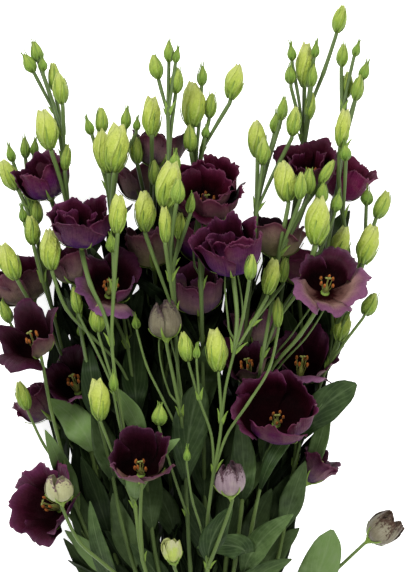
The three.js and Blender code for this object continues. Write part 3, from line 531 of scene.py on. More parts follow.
def height_at(x: float, y: float, level: float) -> float:
    """The height of a level between the floor and the roof."""
    return mix(LEVEL_MARGIN, roof_over(x, y) - LEVEL_MARGIN, level)


def direction(lean: float, tilt: float) -> Array:
    """A head's unit vector: lean is to the right in the plan, tilt is up from it, in degrees."""
    lean, tilt = math.radians(lean), math.radians(tilt)
    return np.array([math.sin(lean) * math.cos(tilt), math.cos(lean) * math.cos(tilt), math.sin(tilt)])


def axes(way: Array) -> tuple[Array, Array]:
    """Two directions at right angles to each row of `way`: level to its left, and up from it."""
    side = unit(np.stack([-way[..., 1], way[..., 0], np.zeros_like(way[..., 0])], axis=-1))
    return side, np.cross(way, side)


def spokes(angle: Array, side: Array, up: Array) -> Array:
    """Unit directions cos(angle) * side + sin(angle) * up."""
    return np.cos(angle)[..., None] * side + np.sin(angle)[..., None] * up


def wall_at(cup: Cup, width: float, depth: float, t: Array) -> tuple[Array, Array]:
    """A bloom's wall from its foot (t = 0) to its rim (t = 1), as a cubic curve.

    Args:
        cup: The bloom's form.
        width: Width of the mouth.
        depth: Height of the cup.
        t: Places along the wall.

    Returns:
        The radius and the height at each place.
    """
    s = 1 - t
    radius = 3 * s * s * t * cup.belly * width * BELLY_PULL + 3 * s * t * t * cup.waist * width
    height = 3 * s * s * t * BELLY_RISE * depth + 3 * s * t * t * WAIST_RISE * depth + t**3 * depth
    return radius + t**3 * cup.mouth * width, height


@dataclass
class Probes:
    """Round places whose distances are watched while the bunch settles, gathered as columns.

    They are x, y, the offset over the owners' mixed height, and the radius. Then come the owners: the first
    height, its weight, the second height and its weight. Then come the tags: stem, strand, level, 1 where
    the probe is in something thin, and 1 where it is in a bloom.
    """

    rows: list[Array] = field(default_factory=list)

    def add(self, xy: Array, offset: Any, radius: Any, owners: Sequence[Any], tags: Sequence[float]) -> None:
        """Adds probes at places in the plan."""
        columns = [xy[:, 0], xy[:, 1], offset, radius, *owners, *tags]
        self.rows.append(np.stack([np.broadcast_to(np.asarray(c, float), len(xy)) for c in columns], axis=1))

    def columns(self) -> Array:
        """All the probes, one row of the result for each column."""
        return np.vstack(self.rows).T


class Growth:
    """Grows every line of the bunch in the plan, and settles the heights."""

    def __init__(self) -> None:
        """Grows the stems, their stalks and their leaves."""
        self.home: list[float] = []
        self.fixed: list[bool] = []
        self.strands: list[Strand] = []
        self.heads: list[Head] = []
        self.z = np.zeros(0)
        for number, plan in enumerate(STEMS, 1):
            self._grow_plant(number, plan)
        self.leaves = [self._grow_leaf(row, index) for index, row in enumerate(LEAVES)]
        self._settle()
        for strand in self.strands:
            strand.knots = np.array([self.place(point) for point in strand.points])
            strand.line = evenly(strand.knots, LINE_STEP)
            strand.head.foot = np.array([*strand.head.base, self.z[strand.head.height]])
        for leaf in self.leaves:
            a, b, share = leaf.root
            root = np.array([*leaf.start, mix(self.z_of(a), self.z_of(b), share)])
            leaf.line = np.vstack([root, *[self.place(point) for point in leaf.midrib]])

    def _height(self, z: float, fixed: bool = False) -> int:
        """A new height with its rough value.

        Args:
            z: The rough value.
            fixed: Whether it stays as it is.

        Returns:
            Its number.
        """
        self.home.append(float(z))
        self.fixed.append(fixed)
        return len(self.home) - 1

    def z_of(self, point: Point) -> float:
        """The height of a point now."""
        z = self.z if len(self.z) else self.home
        return float(z[point.height]) + point.offset

    def place(self, point: Point) -> Array:
        """A point in space."""
        return np.array([point.x, point.y, self.z_of(point)])

    def _head(self, kind: Kind, row: Row, stem: StemPlan, number: int) -> Head:
        """A head with its base placed so that its middle is where the table says.

        Args:
            kind: Bud or bloom.
            row: Its row in the table.
            stem: The plan of its stem.
            number: The stem's number.

        Returns:
            The head.
        """
        is_bud = kind is Kind.BUD
        across, down = row[:2]
        x, y = to_plan(row)
        length, width = (row[2], row[3] * BUD_FULLNESS) if is_bud else (row[3], row[2])
        tilt = mix(*BUD_TILTS, draw(across * 3 + down)) if is_bud else row[5]
        given = row[5:6] if is_bud else row[6:7]
        level = given[0] if given else stem.level
        way = direction(row[4], tilt)
        back = length * (BUD_MIDDLE if is_bud else BLOOM_MIDDLE)
        height = self._height(height_at(x, y, level) - way[2] * back)
        base = np.array([x - way[0] * back, y - way[1] * back])
        cup = None if is_bud else row[7]
        return Head(kind, length, width, way, level, cup, across * 7 + down, base, height, number)

    def _end_in(self, points: list[Point], head: Head) -> None:
        """Ends a line in its head: its last two points move up and down with the head.

        Args:
            points: The line's points, which the two are added to.
            head: The bud or bloom.
        """
        x, y = head.neck_point
        points.append(Point(x, y, head.height, -head.way[2] * head.neck))
        points.append(Point(head.base[0], head.base[1], head.height))

    def _grow_plant(self, number: int, plan: StemPlan) -> None:
        """Grows one stem and the stalks of all its heads.

        Args:
            number: The stem's number.
            plan: Its plan.
        """
        buds = [self._head(Kind.BUD, row, plan, number) for row in plan.buds]
        blooms = [self._head(Kind.BLOOM, row, plan, number) for row in plan.blooms]
        for k, bloom in enumerate(blooms):
            bloom.number = sum(h.kind is Kind.BLOOM for h in self.heads) + k + 1
        heads = [blooms[0], *buds, *blooms[1:]] if plan.bloom_leads else [*buds, *blooms]
        grown = [self._grow_stem(plan, number, heads[0])]
        for head in heads[1:]:
            self._grow_stalk(head, number, grown)
        self.heads += heads

    def _grow_stem(self, plan: StemPlan, number: int, head: Head) -> Strand:
        """The stem's own line: its cut end, the tie, its route and its first head.

        Args:
            plan: The stem's plan.
            number: Its number.
            head: The head at its end.

        Returns:
            The stem.
        """
        slot_x = plan.slot[0] * SLOT_PITCH
        slot_z = TIE_HEIGHT + (plan.slot[1] - 1.3) * SLOT_PITCH * 0.9
        ends = [(LENGTH - 5 * draw(number + 1), 1.35, 1.05), (TIE_DOWN + 12, 1, 1), (TIE_DOWN - 12, 1, 1)]
        points = [
            Point(slot_x * spread, LENGTH - down, self._height(mix(TIE_HEIGHT, slot_z, lift), True))
            for down, spread, lift in ends
        ]
        route = [to_plan(place) for place in plan.route]
        line = evenly([(points[2].x, points[2].y), *route, head.neck_point], STEM_STEP)
        for x, y in line[1:-1]:
            points.append(Point(x, y, self._height(height_at(x, y, plan.level))))
        self._end_in(points, head)
        strand = Strand(number, points, head, STEM_RADIUS, head.stalk_radius, True)
        self.strands.append(strand)
        return strand

    def _fork_for(self, head: Head, grown: list[Strand]) -> tuple[Strand, int, Array]:
        """Where a head's stalk leaves the stem: the place that asks for a fork of about fifteen degrees.

        Args:
            head: The head that needs a stalk.
            grown: The stem and stalks that it may fork from.

        Returns:
            The strand, the number of its point, and its direction there.
        """
        best: tuple[float, Strand, int, Array] | None = None
        for strand in grown:
            line = np.array([(p.x, p.y) for p in strand.points])
            for i in range(3 if strand.main else 1, len(line) - 2):
                way = unit(line[i + 1] - line[i - 1])
                dx, dy = head.neck_point - line[i]
                along = dx * way[0] + dy * way[1]
                if along < NEAREST_FORK:
                    continue
                spread = abs(dx * way[1] - dy * way[0]) / along - FORK_SPREAD
                cost = spread * spread * 6 + (along / 150) ** 2 * 0.35 + (0 if strand.main else 0.08)
                if best is None or cost < best[0]:
                    best = (cost, strand, i, way)
        assert best is not None
        return best[1:]

    def _grow_stalk(self, head: Head, number: int, grown: list[Strand]) -> None:
        """A stalk that leaves a stem along its line and arrives along its head's direction.

        Args:
            head: The head at its end.
            number: The stem's number.
            grown: The stem and stalks so far, which it joins.
        """
        parent, index, way = self._fork_for(head, grown)
        at = parent.points[index]
        root, tip = np.array([at.x, at.y]), head.neck_point
        reach = np.linalg.norm(tip - root)
        t = (np.arange(11) / 10)[:, None]
        s = 1 - t
        control, arrive = root + way * reach * STALK_HANDLE, tip - head.way[:2] * reach * STALK_HANDLE
        curve = s**3 * root + 3 * s * s * t * control + 3 * s * t * t * arrive + t**3 * tip
        line = evenly(curve, STALK_STEP)
        points = [Point(at.x, at.y, at.height, at.offset)]
        root_z, tip_z = self.z_of(at), self.home[head.height]
        for k, (x, y) in enumerate(line[1:-1]):
            z = mix(root_z, tip_z, smooth((k + 1) / (len(line) - 1)))
            points.append(Point(x, y, self._height(z)))
        self._end_in(points, head)
        is_bud = head.kind is Kind.BUD
        thick = min(FORK_RADIUS, head.stalk_radius * 1.15) if is_bud else BLOOM_FORK_RADIUS
        strand = Strand(number, points, head, thick, head.stalk_radius)
        self.strands.append(strand)
        if head.is_built:
            grown.append(strand)

    def _grow_leaf(self, row: Row, index: int) -> LeafPlan:
        """A leaf rooted on the nearest point of its stem, with its own bends out to the tip.

        Args:
            row: The leaf's row in the table.
            index: Its place there.

        Returns:
            The leaf.
        """
        number, root, tip = row[0], to_plan(row[1:3]), to_plan(row[3:5])
        width, level, roll = row[5:8]
        best: tuple[float, Point, Point, float, Array] | None = None
        for strand in (s for s in self.strands if s.stem == number):
            for i in range(2 if strand.main else 0, len(strand.points) - 2):
                a, b = strand.points[i], strand.points[i + 1]
                run = np.array([b.x - a.x, b.y - a.y])
                near = root - (a.x, a.y)
                share = float(np.clip(near @ run / (run @ run), 0.05, 0.95))
                gap = float(np.linalg.norm(run * share - near))
                if best is None or gap < best[0]:
                    best = (gap, a, b, share, run)
        assert best is not None
        _, a, b, share, run = best
        start = np.array([a.x, a.y]) + run * share
        bend = start + unit(run) * np.linalg.norm(tip - start) * 0.42
        root_z = mix(self.z_of(a), self.z_of(b), share)
        midrib = []
        for t in (0.25, 0.5, 0.75, 1.0):
            x, y = (1 - t) ** 2 * start + 2 * (1 - t) * t * bend + t * t * tip
            z = mix(root_z, height_at(tip[0], tip[1], level), smooth(t))
            midrib.append(Point(x, y, self._height(z)))
        return LeafPlan(number, (a, b, share), start, midrib, width, level, math.radians(roll), index)

    def _probe_strand(self, probes: Probes, strand: Strand, ident: int) -> None:
        """Probes along a strand's line, every few millimetres.

        Args:
            probes: Takes the probes.
            strand: The stem or stalk.
            ident: Its number.
        """
        level = STEMS[strand.stem - 1].level
        for i, (a, b) in enumerate(zip(strand.points[:-1], strand.points[1:])):
            count = max(1, math.ceil(math.hypot(b.x - a.x, b.y - a.y) / PROBE_STEP))
            share = np.arange(count) / count
            xy = np.stack([mix(a.x, b.x, share), mix(a.y, b.y, share)], axis=1)
            radius = mix(strand.root, strand.tip, (i + share) / (len(strand.points) - 1)) + 0.1
            owners = (a.height, 1 - share, b.height, share)
            tags = (strand.stem, ident, level, 1, 0)
            probes.add(xy, mix(a.offset, b.offset, share), radius, owners, tags)

    def _probe_head(self, probes: Probes, head: Head, ident: int) -> None:
        """Probes in a bud, or in rings round a bloom's wall.

        Args:
            probes: Takes the probes.
            head: The bud or bloom.
            ident: Its strand's number.
        """
        side, up = axes(head.way)
        if head.kind is Kind.BUD:
            at = BUD_PROBES[:, :1] * head.length * head.way
            radius = BUD_PROBES[:, 1] * head.width
        else:
            along, across = BLOOM_FOOT_PROBE
            at, radius = head.way[None] * head.length * along, np.array([head.width * across])
            angle = np.arange(12) * math.pi / 6
            for t in BLOOM_RINGS:
                r, along = wall_at(head.cup, head.width, head.length, t)
                at = np.vstack([at, spokes(angle, side, up) * r * 0.8 + head.way * along])
                radius = np.concatenate([radius, np.full(12, r * 0.3)])
        tags = (head.stem, ident, head.level, 0, head.kind is Kind.BLOOM)
        probes.add(head.base + at[:, :2], at[:, 2], radius, (head.height, 1, head.height, 0), tags)

    def _probe_leaf(self, probes: Probes, leaf: LeafPlan) -> None:
        """Probes in rows across a leaf.

        Args:
            probes: Takes the probes.
            leaf: The leaf.
        """
        line = [Point(leaf.start[0], leaf.start[1], 0), *leaf.midrib]
        tags = (leaf.stem, 1000 + leaf.index, leaf.level, 0, 0)
        for k in range(1, 5):
            a, b = line[k - 1], line[k]
            run = unit(np.array([b.x - a.x, b.y - a.y]))
            for step in range(1 if k > 1 else LEAF_SAMPLES, LEAF_SAMPLES + 1):
                share = step / LEAF_SAMPLES
                half = leaf.width / 2 * mix(LEAF_PROFILE[k - 1], LEAF_PROFILE[k], share)
                count = math.ceil(half / 4)
                off = half * np.arange(-count, count + 1) / count
                flat = off * math.cos(leaf.roll)
                lift = off * math.sin(leaf.roll) + np.abs(off) * LEAF_FOLD
                owners = (a.height, 1 - share, b.height, share) if share < 1 else (b.height, 1, b.height, 0)
                x = mix(a.x, b.x, share) + run[1] * flat
                y = mix(a.y, b.y, share) - run[0] * flat
                probes.add(np.stack([x, y], axis=1), lift, 2, owners, tags)

    def _close_pairs(self, probes: Array) -> tuple[Array, Array, Array, Array]:
        """Pairs of probes that are close in the plan.

        Args:
            probes: The probes' columns.

        Returns:
            The two probes of each pair, the height that has to be between them, and which is to be above.
        """
        x, y, _, radius, _, _, _, _, stem, strand, level, thin, bloom = probes
        firsts, seconds, needs = [], [], []
        for i in range(len(x) - 1):
            rest = slice(i + 1, None)
            reach = radius[i] + radius[rest] + CLEARANCE
            flat = (x[i] - x[rest]) ** 2 + (y[i] - y[rest]) ** 2
            own = (stem[rest] == stem[i]) & ~((bloom[rest] + bloom[i]) > 0) & ((thin[rest] + thin[i]) > 0)
            near = np.flatnonzero((flat < reach * reach) & (strand[rest] != strand[i]) & ~own)
            firsts.append(np.full(len(near), i))
            seconds.append(near + i + 1)
            needs.append(np.sqrt(reach[near] ** 2 - flat[near]))
        i, j = np.concatenate(firsts), np.concatenate(seconds)
        stem_level = np.array([plan.level for plan in STEMS])[stem.astype(int) - 1]
        rank = np.where(bloom > 0, level + 0.001, stem_level)
        inside = np.where((bloom[i] + bloom[j]) > 0, rank[j] - rank[i], level[j] - level[i])
        rise = np.where(stem[i] == stem[j], inside, stem_level[j] - stem_level[i])
        rise = np.where(rise == 0, stem[j] - stem[i], rise)
        return i, j, np.concatenate(needs), np.where(rise >= 0, 1.0, -1.0)

    def _bends(self) -> tuple[Array, Array]:
        """For each inner point of a strand: heights and offsets of its two neighbours and itself.

        Returns:
            The numbers of the heights, and the offsets, as three rows each.
        """
        heights, offsets = [], []
        for strand in self.strands:
            points = strand.points
            for i in range(1, len(points) - 2):
                group = (points[i - 1], points[i + 1], points[i])
                heights.append([p.height for p in group])
                offsets.append([p.offset for p in group])
        return np.array(heights).T, np.array(offsets).T

    def _settle(self) -> None:
        """Lifts and lowers the free heights until close pairs are apart and every line bends smoothly.

        In each round a pair that lacks some of its height is pushed apart by half of that each way, shared
        among the heights by their weights. Lines are eased towards the mean of their neighbours.
        """
        gathered = Probes()
        for ident, strand in enumerate(self.strands):
            self._probe_strand(gathered, strand, ident)
        for ident, strand in enumerate(self.strands):
            self._probe_head(gathered, strand.head, ident)
        for leaf in self.leaves:
            self._probe_leaf(gathered, leaf)
        probes = gathered.columns()
        i, j, need, way = self._close_pairs(probes)
        offset, radius, first, w0, second, w1 = probes[2:8]
        first, second = first.astype(int), second.astype(int)
        mass = w0**2 + w1**2
        clear = np.where(probes[12] > 0, FLOOR_GAP, HEAD_FLOOR_GAP)
        home, free = np.array(self.home), ~np.array(self.fixed)
        bends, lifts = self._bends()
        z = home.copy()
        for turn in range(SETTLE_ROUNDS):
            level = offset + w0 * z[first] + w1 * z[second]
            lack = need - way * (level[j] - level[i])
            hit = np.flatnonzero(lack > 0)
            low = np.flatnonzero(level - radius < clear)
            push = way[hit] * lack[hit] * 0.5
            who = np.concatenate([j[hit], i[hit], low])
            amount = np.concatenate([push, -push, clear[low] - level[low] + radius[low]]) / mass[who]
            owners = np.concatenate([first[who], second[who]])
            moves = np.concatenate([amount * w0[who], amount * w1[who]])
            up, down = np.zeros(len(z)), np.zeros(len(z))
            np.maximum.at(up, owners, moves)
            np.minimum.at(down, owners, moves)
            change = (up + down) * PUSH
            if turn < LOOSE_ROUNDS:
                a, b, c = z[bends] + lifts
                change[bends[2]] += (0.5 * (a + b) - c) * EASE
                change += (home - z) * HOMING
            z = z + np.where(free, change, 0)
        self.z = z


def linked(name: str, data: Any) -> bpy.types.Object:
    """A new object of the scene, at the origin.

    Args:
        name: Its name.
        data: Its mesh, camera or lamp.

    Returns:
        The object.
    """
    made = bpy.data.objects.new(name, data)
    bpy.context.scene.collection.objects.link(made)
    return made


@dataclass
class Bag:
    """The surfaces of one piece, gathered and then put into one mesh.

    Every point carries two vectors for its finish. `place` is (across from -1 to 1, along from 0 to 1,
    1 on an inner face). `tone` is (luck, then two numbers of the finish's own): fade and dusk on a petal,
    where fade also holds painted light and shade by how the petal faces, ripeness on a bud, a stem or
    a sepal, and on a leaf its depth in the bunch as the third, which darkens it as painted shade.
    """

    points: list[Array] = field(default_factory=list)
    faces: list[Array] = field(default_factory=list)
    finishes: list[Array] = field(default_factory=list)
    places: list[Array] = field(default_factory=list)
    tones: list[Array] = field(default_factory=list)
    count: int = 0

    def add(
        self, points: Array, faces: Sequence[Array], place: Array, tone: Sequence[float], finish: int,
    ) -> None:
        """Adds a surface.

        Args:
            points: Its points, one a row, in millimetres.
            faces: Arrays of corner numbers, one face a row.
            place: The place vector of each point.
            tone: The tone vector that all its points share.
            finish: Number of its finish in the piece.
        """
        for group in faces:
            self.faces.append(group + self.count)
            self.finishes.append(np.full(len(group), finish))
        self.points.append(points)
        self.places.append(place)
        self.tones.append(np.broadcast_to(np.asarray(tone, float), points.shape))
        self.count += len(points)

    def tube(self, rings: Array, tone: Sequence[float], finish: int, place: Array | None = None) -> None:
        """Adds a closed skin through rings of points, with a point at the middle of each end.

        Args:
            rings: Points as (ring, point, 3), turning to the left along the way of travel.
            tone: The tone vector.
            finish: Number of its finish.
            place: The place vector of each point in the same form. Without it across goes once round the
                tube, and along from one end to the other.
        """
        rows, sides = rings.shape[:2]
        if place is None:
            around, along = np.meshgrid(np.arange(sides) / sides * 2 - 1, np.linspace(0, 1, rows))
            place = np.stack([around, along, np.zeros_like(along)], axis=-1)
        points = np.vstack([rings.reshape(-1, 3), rings[0].mean(0), rings[-1].mean(0)])
        places = np.vstack([place.reshape(-1, 3), place[0].mean(0), place[-1].mean(0)])
        r, k = np.meshgrid(np.arange(rows - 1), np.arange(sides), indexing="ij")
        a, b = (r * sides + k).ravel(), (r * sides + (k + 1) % sides).ravel()
        quads = np.stack([a, b, b + sides, a + sides], axis=1)
        k, n, top = np.arange(sides), (np.arange(sides) + 1) % sides, (rows - 1) * sides
        start = np.stack([np.full(sides, rows * sides), n, k], axis=1)
        end = np.stack([np.full(sides, rows * sides + 1), top + k, top + n], axis=1)
        self.add(points, [quads, start, end], places, tone, finish)

    def sheet(
        self, grid: Array, thick: Array, place: Sequence[Array], tone: Sequence[float], finish: int,
    ) -> None:
        """Adds a thin closed sheet with both its faces and its rim.

        Each face stands half the thickness off the grid, along the cross product of the grid's two
        directions. The face on that side is the outer one, and the other has 1 as its place's third number.

        Args:
            grid: Points as (row, column, 3).
            thick: Thickness at each point.
            place: Across and along at each point.
            tone: The tone vector.
            finish: Number of its finish.
        """
        rows, cols = grid.shape[:2]
        normal = unit(np.cross(np.gradient(grid, axis=1), np.gradient(grid, axis=0)))
        half = normal * (thick / 2)[..., None]
        points = np.vstack([(grid + half).reshape(-1, 3), (grid - half).reshape(-1, 3)])
        across, along = (part.ravel() for part in place)
        faces_in = (np.zeros(rows * cols), np.ones(rows * cols))
        places = np.vstack([np.column_stack([across, along, inner]) for inner in faces_in])
        index = np.arange(rows * cols).reshape(rows, cols)
        a, b = index[:-1, :-1].ravel(), index[:-1, 1:].ravel()
        c, d = index[1:, 1:].ravel(), index[1:, :-1].ravel()
        under = rows * cols
        edge = np.concatenate([index[0], index[1:, -1], index[-1, -2::-1], index[-2:0:-1, 0]])
        after = np.roll(edge, -1)
        faces = [
            np.stack([a, b, c, d], axis=1),
            np.stack([d, c, b, a], axis=1) + under,
            np.stack([edge + under, after + under, after, edge], axis=1),
        ]
        self.add(points, faces, places, tone, finish)

    def piece(
        self, name: str, finishes: Sequence[bpy.types.Material], shift: Array, canopy: "Canopy",
    ) -> bpy.types.Object:
        """Makes the piece, in metres in the row frame.

        Args:
            name: The piece's name.
            finishes: Its materials, in the order of their numbers.
            shift: From plan coordinates to the row frame, in millimetres.
            canopy: Gives each point's share of painted shade, by how deep it lies, for the finishes.

        Returns:
            The piece's object, at the origin.
        """
        mesh = bpy.data.meshes.new(name)
        points = (np.vstack(self.points) + shift) * MM
        mesh.from_pydata(points.tolist(), [], [face for group in self.faces for face in group.tolist()])
        mesh.polygons.foreach_set("material_index", np.concatenate(self.finishes).astype(np.int32))
        mesh.polygons.foreach_set("use_smooth", np.ones(len(mesh.polygons), bool))
        for label, rows in (("place", self.places), ("tone", self.tones)):
            values = mesh.attributes.new(label, "FLOAT_VECTOR", "POINT")
            values.data.foreach_set("vector", np.vstack(rows).astype(np.float32).ravel())
        # Painted shade: points deep under the bunch's top are darkened in their finishes.
        painted_shade = mesh.attributes.new("painted_shade", "FLOAT", "POINT")
        painted_shade.data.foreach_set("value", canopy.painted_shade(np.vstack(self.points)).astype(np.float32))
        for material in finishes:
            mesh.materials.append(material)
        mesh.update()
        return linked(name, mesh)


class Canopy:
    """The bunch's mean upper surface, which tells how deep a point lies under its neighbours, for painted
    shade.
    """

    def __init__(self, bags: Sequence[Bag], cell: float = 6.0, blurs: int = 3, reach: int = 3) -> None:
        """Maps the highest point in each cell of the plan, and blurs the map.

        Args:
            bags: Everything in the bunch.
            cell: Side of a cell, in millimetres.
            blurs: How often the map is averaged.
            reach: Cells to each side that an average takes in.
        """
        points = np.vstack([part for bag in bags for part in bag.points])
        self.cell = cell
        self.low = points[:, :2].min(axis=0) - 8 * cell
        shape = ((points[:, :2].max(axis=0) - self.low) / cell).astype(int) + 9
        top = np.zeros(shape)
        index = ((points[:, :2] - self.low) / cell).astype(int)
        np.maximum.at(top, (index[:, 0], index[:, 1]), points[:, 2])
        kernel = np.ones(2 * reach + 1) / (2 * reach + 1)
        for _ in range(blurs):
            for axis in (0, 1):
                top = np.apply_along_axis(np.convolve, axis, top, kernel, "same")
        self.top = top

    def painted_shade(self, points: Array, depth: float = 42.0) -> Array:
        """How much painted shade each point gets, from 0 to 1: 1 - exp(-(its depth under the canopy) /
        depth).

        Args:
            points: The points, one a row.
            depth: How far under the canopy, in millimetres, the share comes to about two thirds.

        Returns:
            The share for each point.
        """
        index = ((points[:, :2] - self.low) / self.cell).astype(int)
        below = self.top[index[:, 0], index[:, 1]] - points[:, 2]
        return 1 - np.exp(-np.clip(below, 0, None) / depth)


def grid_of(rows: int, cols: int, low: float = 0.0) -> tuple[Array, Array]:
    """A grid of across (-1 to 1 over the columns) and along (low to 1 over the rows)."""
    along, across = np.meshgrid(np.linspace(low, 1, rows), np.linspace(-1, 1, cols), indexing="ij")
    return across, along


def rings_round(line: Array, radius: Array, sides: int) -> Array:
    """Rings of points round a line, square to it.

    Each point is the line's point plus the radius times (cos a, sin a) in the ring's own plane.

    Args:
        line: Points of the line, as (n, 3).
        radius: Radius at each point.
        sides: Points in a ring.

    Returns:
        The rings as (n, sides, 3).
    """
    side, up = axes(unit(np.gradient(line, axis=0)))
    angle = np.arange(sides) * 2 * math.pi / sides
    return line[:, None] + spokes(angle, side[:, None], up[:, None]) * radius[:, None, None]


def level_rings(line: Array, radius: Array, sides: int) -> Array:
    """Level rings of points, turning to the left about +Z, round the points of a line.

    Args:
        line: Points of the line, as (n, 3).
        radius: Radius at each point.
        sides: Points in a ring.

    Returns:
        The rings as (n, sides, 3).
    """
    angle = np.arange(sides) * 2 * math.pi / sides
    out = np.stack([np.cos(angle), np.sin(angle), np.zeros(sides)], axis=1)
    return line[:, None] + out[None] * radius[:, None, None]


def waves(along: Array, *rows: tuple[float, int, Array]) -> Array:
    """Waves that grow towards the rim: the sum of height * along^power * sin(turn) over the rows."""
    return sum(height * along**power * np.sin(turn) for height, power, turn in rows)


def rested(height: Array, soft: float = 3.0) -> Array:
    """Heights eased between the floor and the bunch's top, which petals and leaves bend along.

    Args:
        height: Heights in millimetres.
        soft: How far before the floor and the top the bend begins.

    Returns:
        The heights, all above the floor and below the top.
    """
    height = np.where(height < soft, soft * np.exp(np.minimum(height - soft, 0) / soft), height)
    over = np.maximum(height - (CREST - soft), 0)
    return np.where(over > 0, CREST - soft * np.exp(-over / soft), height)


def blade(
    line: Array, width: float, profile: Array, fold: float, roll: float, cols: int, stout: float,
    wave: float = 0.0, seed: float = 0.0,
) -> tuple[Array, Array, Sequence[Array]]:
    """A leaf's surface carried along its midrib.

    At a share v along, the half width is the profile's value, and a point at u from -1 to 1 lies
    u * half out to the side, turned by the roll, raised by |u| * half * fold and by a small wave.

    Args:
        line: Points of the midrib.
        width: Greatest width.
        profile: Half widths at even steps, as shares.
        fold: Rise of the blade's edges against its midrib.
        roll: Turn of the blade round its midrib, in radians.
        cols: Points across.
        stout: Thickness at the midrib.
        wave: Height of the waves along the edges.
        seed: Which waves.

    Returns:
        The grid, its thickness at each point, and across and along there.
    """
    rows = len(line)
    across, along = grid_of(rows, cols)
    side, up = axes(unit(np.gradient(line, axis=0)))
    half = spline(profile, np.linspace(0, len(profile) - 1, rows)) * width / 2
    half = np.maximum(half, 0.12)[:, None]
    out = across * half
    ripple = np.sin(along * 17 + seed * 40 + across * 1.4) * wave * across**2 * np.sin(math.pi * along)
    lift = np.abs(across) ** 1.4 * half * fold + ripple
    flat = out * math.cos(roll) - lift * math.sin(roll)
    rise = out * math.sin(roll) + lift * math.cos(roll)
    grid = line[:, None] - side[:, None] * flat[..., None] + up[:, None] * rise[..., None]
    thick = stout * (0.35 + 0.65 * np.exp(-((across * half / 1.4) ** 2)))
    return grid, thick, (across, along)


class Layer(IntEnum):
    """The finishes of a stem's piece, by their number in it."""

    STEM = 0
    LEAF = 1
    BUD = 2
    SEPAL = 3


class Heart(IntEnum):
    """The finishes of a bloom's piece, by their number in it."""

    PETAL = 0
    ANTHER = 1
    PISTIL = 2


@dataclass
class BudForm:
    """A closed bud: five petals wound round each other, in a calyx of five narrow sepals."""

    rows: int = 15
    twist: float = 0.8
    step: float = 0.08
    slim: float = 0.93
    young: tuple[float, ...] = (0.36, 0.76, 0.96, 1.0, 0.92, 0.76, 0.54, 0.31, 0.09)
    ripe: tuple[float, ...] = (0.36, 0.70, 0.89, 0.98, 1.0, 0.97, 0.86, 0.68, 0.42)
    sepal_width: float = 2.1
    shares: tuple[float, ...] = (0.0, 0.14, 0.4, 0.66, 0.88, 0.97)

    def ripeness(self, head: Head) -> float:
        """How near the bud is to opening, by its length."""
        return float(np.clip((head.length - 16) / 20, 0, 1))

    def radius(self, head: Head, along: Array) -> Array:
        """The bud's mean radius at a share along it: half its width times a profile between the two."""
        profile = mix(np.array(self.young), np.array(self.ripe), self.ripeness(head))
        return spline(profile, np.asarray(along) * (len(profile) - 1)) * head.width * self.slim / 2

    def build(self, bag: Bag, head: Head) -> None:
        """Adds the wound petals.

        At an angle a and a share v along, the radius is the mean one times 1 + step * (f - 1/2), where f
        runs from 0 to 1 over each petal, and the whole is turned by twist * v, so that the edges where f
        falls back wind up the bud.

        Args:
            bag: Takes the surface.
            head: The bud.
        """
        luck = draw(head.seed + 0.3)
        ripe = self.ripeness(head)
        side, up = axes(head.way)
        sides = len(self.shares)
        f = np.tile(self.shares, 5)
        turn = (np.repeat(np.arange(5), sides) + f) / 5 * 2 * math.pi + luck * 6
        along = np.linspace(0, 1, self.rows)[:, None]
        angle = turn + self.twist * (0.6 + ripe * 0.8) * along
        uneven = 0.6 + 0.8 * np.repeat([draw(head.seed + k) for k in range(5)], sides)
        deep = self.step * (0.4 + ripe * 0.8) * uneven
        relief = deep * (f - 0.5) * np.clip(np.sin(math.pi * along), 0, 1) ** 0.6
        dents = 0.04 * np.sin(3 * angle + along * 6 + luck * 9)
        dents = dents + 0.035 * np.sin(5 * angle - along * 14 + luck * 17)
        radius = self.radius(head, along) * (1 + relief + dents * (0.3 + ripe))
        bow = np.sin(along * 2.6)[..., None] * (side * (luck - 0.5)) * head.width * 0.12
        frill = 0.035 * np.sin(2 * turn + luck * 20) + 0.03 * np.sin(5 * turn + luck * 31)
        length = head.length * (1 + (0.3 + ripe) * frill * along**4)
        points = head.foot + head.way * (along * length)[..., None]
        points = points + spokes(angle, side, up) * radius[..., None] + bow
        place = np.stack(np.broadcast_arrays(f * 2 - 1, along, 0.0), axis=-1)
        bag.tube(points, (luck, ripe, draw(head.seed + 7)), Layer.BUD, place)

    def calyx(self, bag: Bag, head: Head) -> None:
        """Adds the five sepals, which lie along the bud and end in points.

        A sepal's middle follows the bud's radius plus a gap that widens towards its tip, and on small buds
        it runs on past the bud's tip as a free spike.

        Args:
            bag: Takes the surfaces.
            head: The bud.
        """
        luck = draw(head.seed + 0.3)
        small = 1 - self.ripeness(head)
        reach = head.length * mix(0.58, 1.3, small)
        side, up = axes(head.way)
        width = self.sepal_width * (0.75 + head.width / 60)
        across, along = grid_of(8, 3)
        for k in range(5):
            length = reach * (0.86 + 0.28 * draw(head.seed + k * 3.1))
            height = along * length
            share = np.clip(height / head.length, 0, 1)
            spread = 0.25 + smooth((share - 0.35) * 2) * mix(1.8, 0.6, small) * draw(head.seed + k)
            radius = self.radius(head, share) + spread - 0.4 * np.abs(across)
            past = np.clip(height - head.length * 0.9, 0, None)
            radius = np.maximum(radius, 0.4) + past * mix(0.0, 0.25, draw(head.seed + k * 5))
            half = width / 2 * (1 - along**1.5) ** 0.8 + 0.15
            angle = luck * 6 + (k + 0.5) * 2 * math.pi / 5 + 0.25 * along
            turn = angle + across * half / np.maximum(radius, half * 1.2)
            grid = head.foot + head.way * (height - 0.6)[..., None]
            grid = grid + spokes(turn, side, up) * radius[..., None]
            thick = 0.3 + 0.45 * (1 - np.abs(across))
            bag.sheet(grid, thick, (across, along), (luck, 1 - small, draw(k)), Layer.SEPAL)


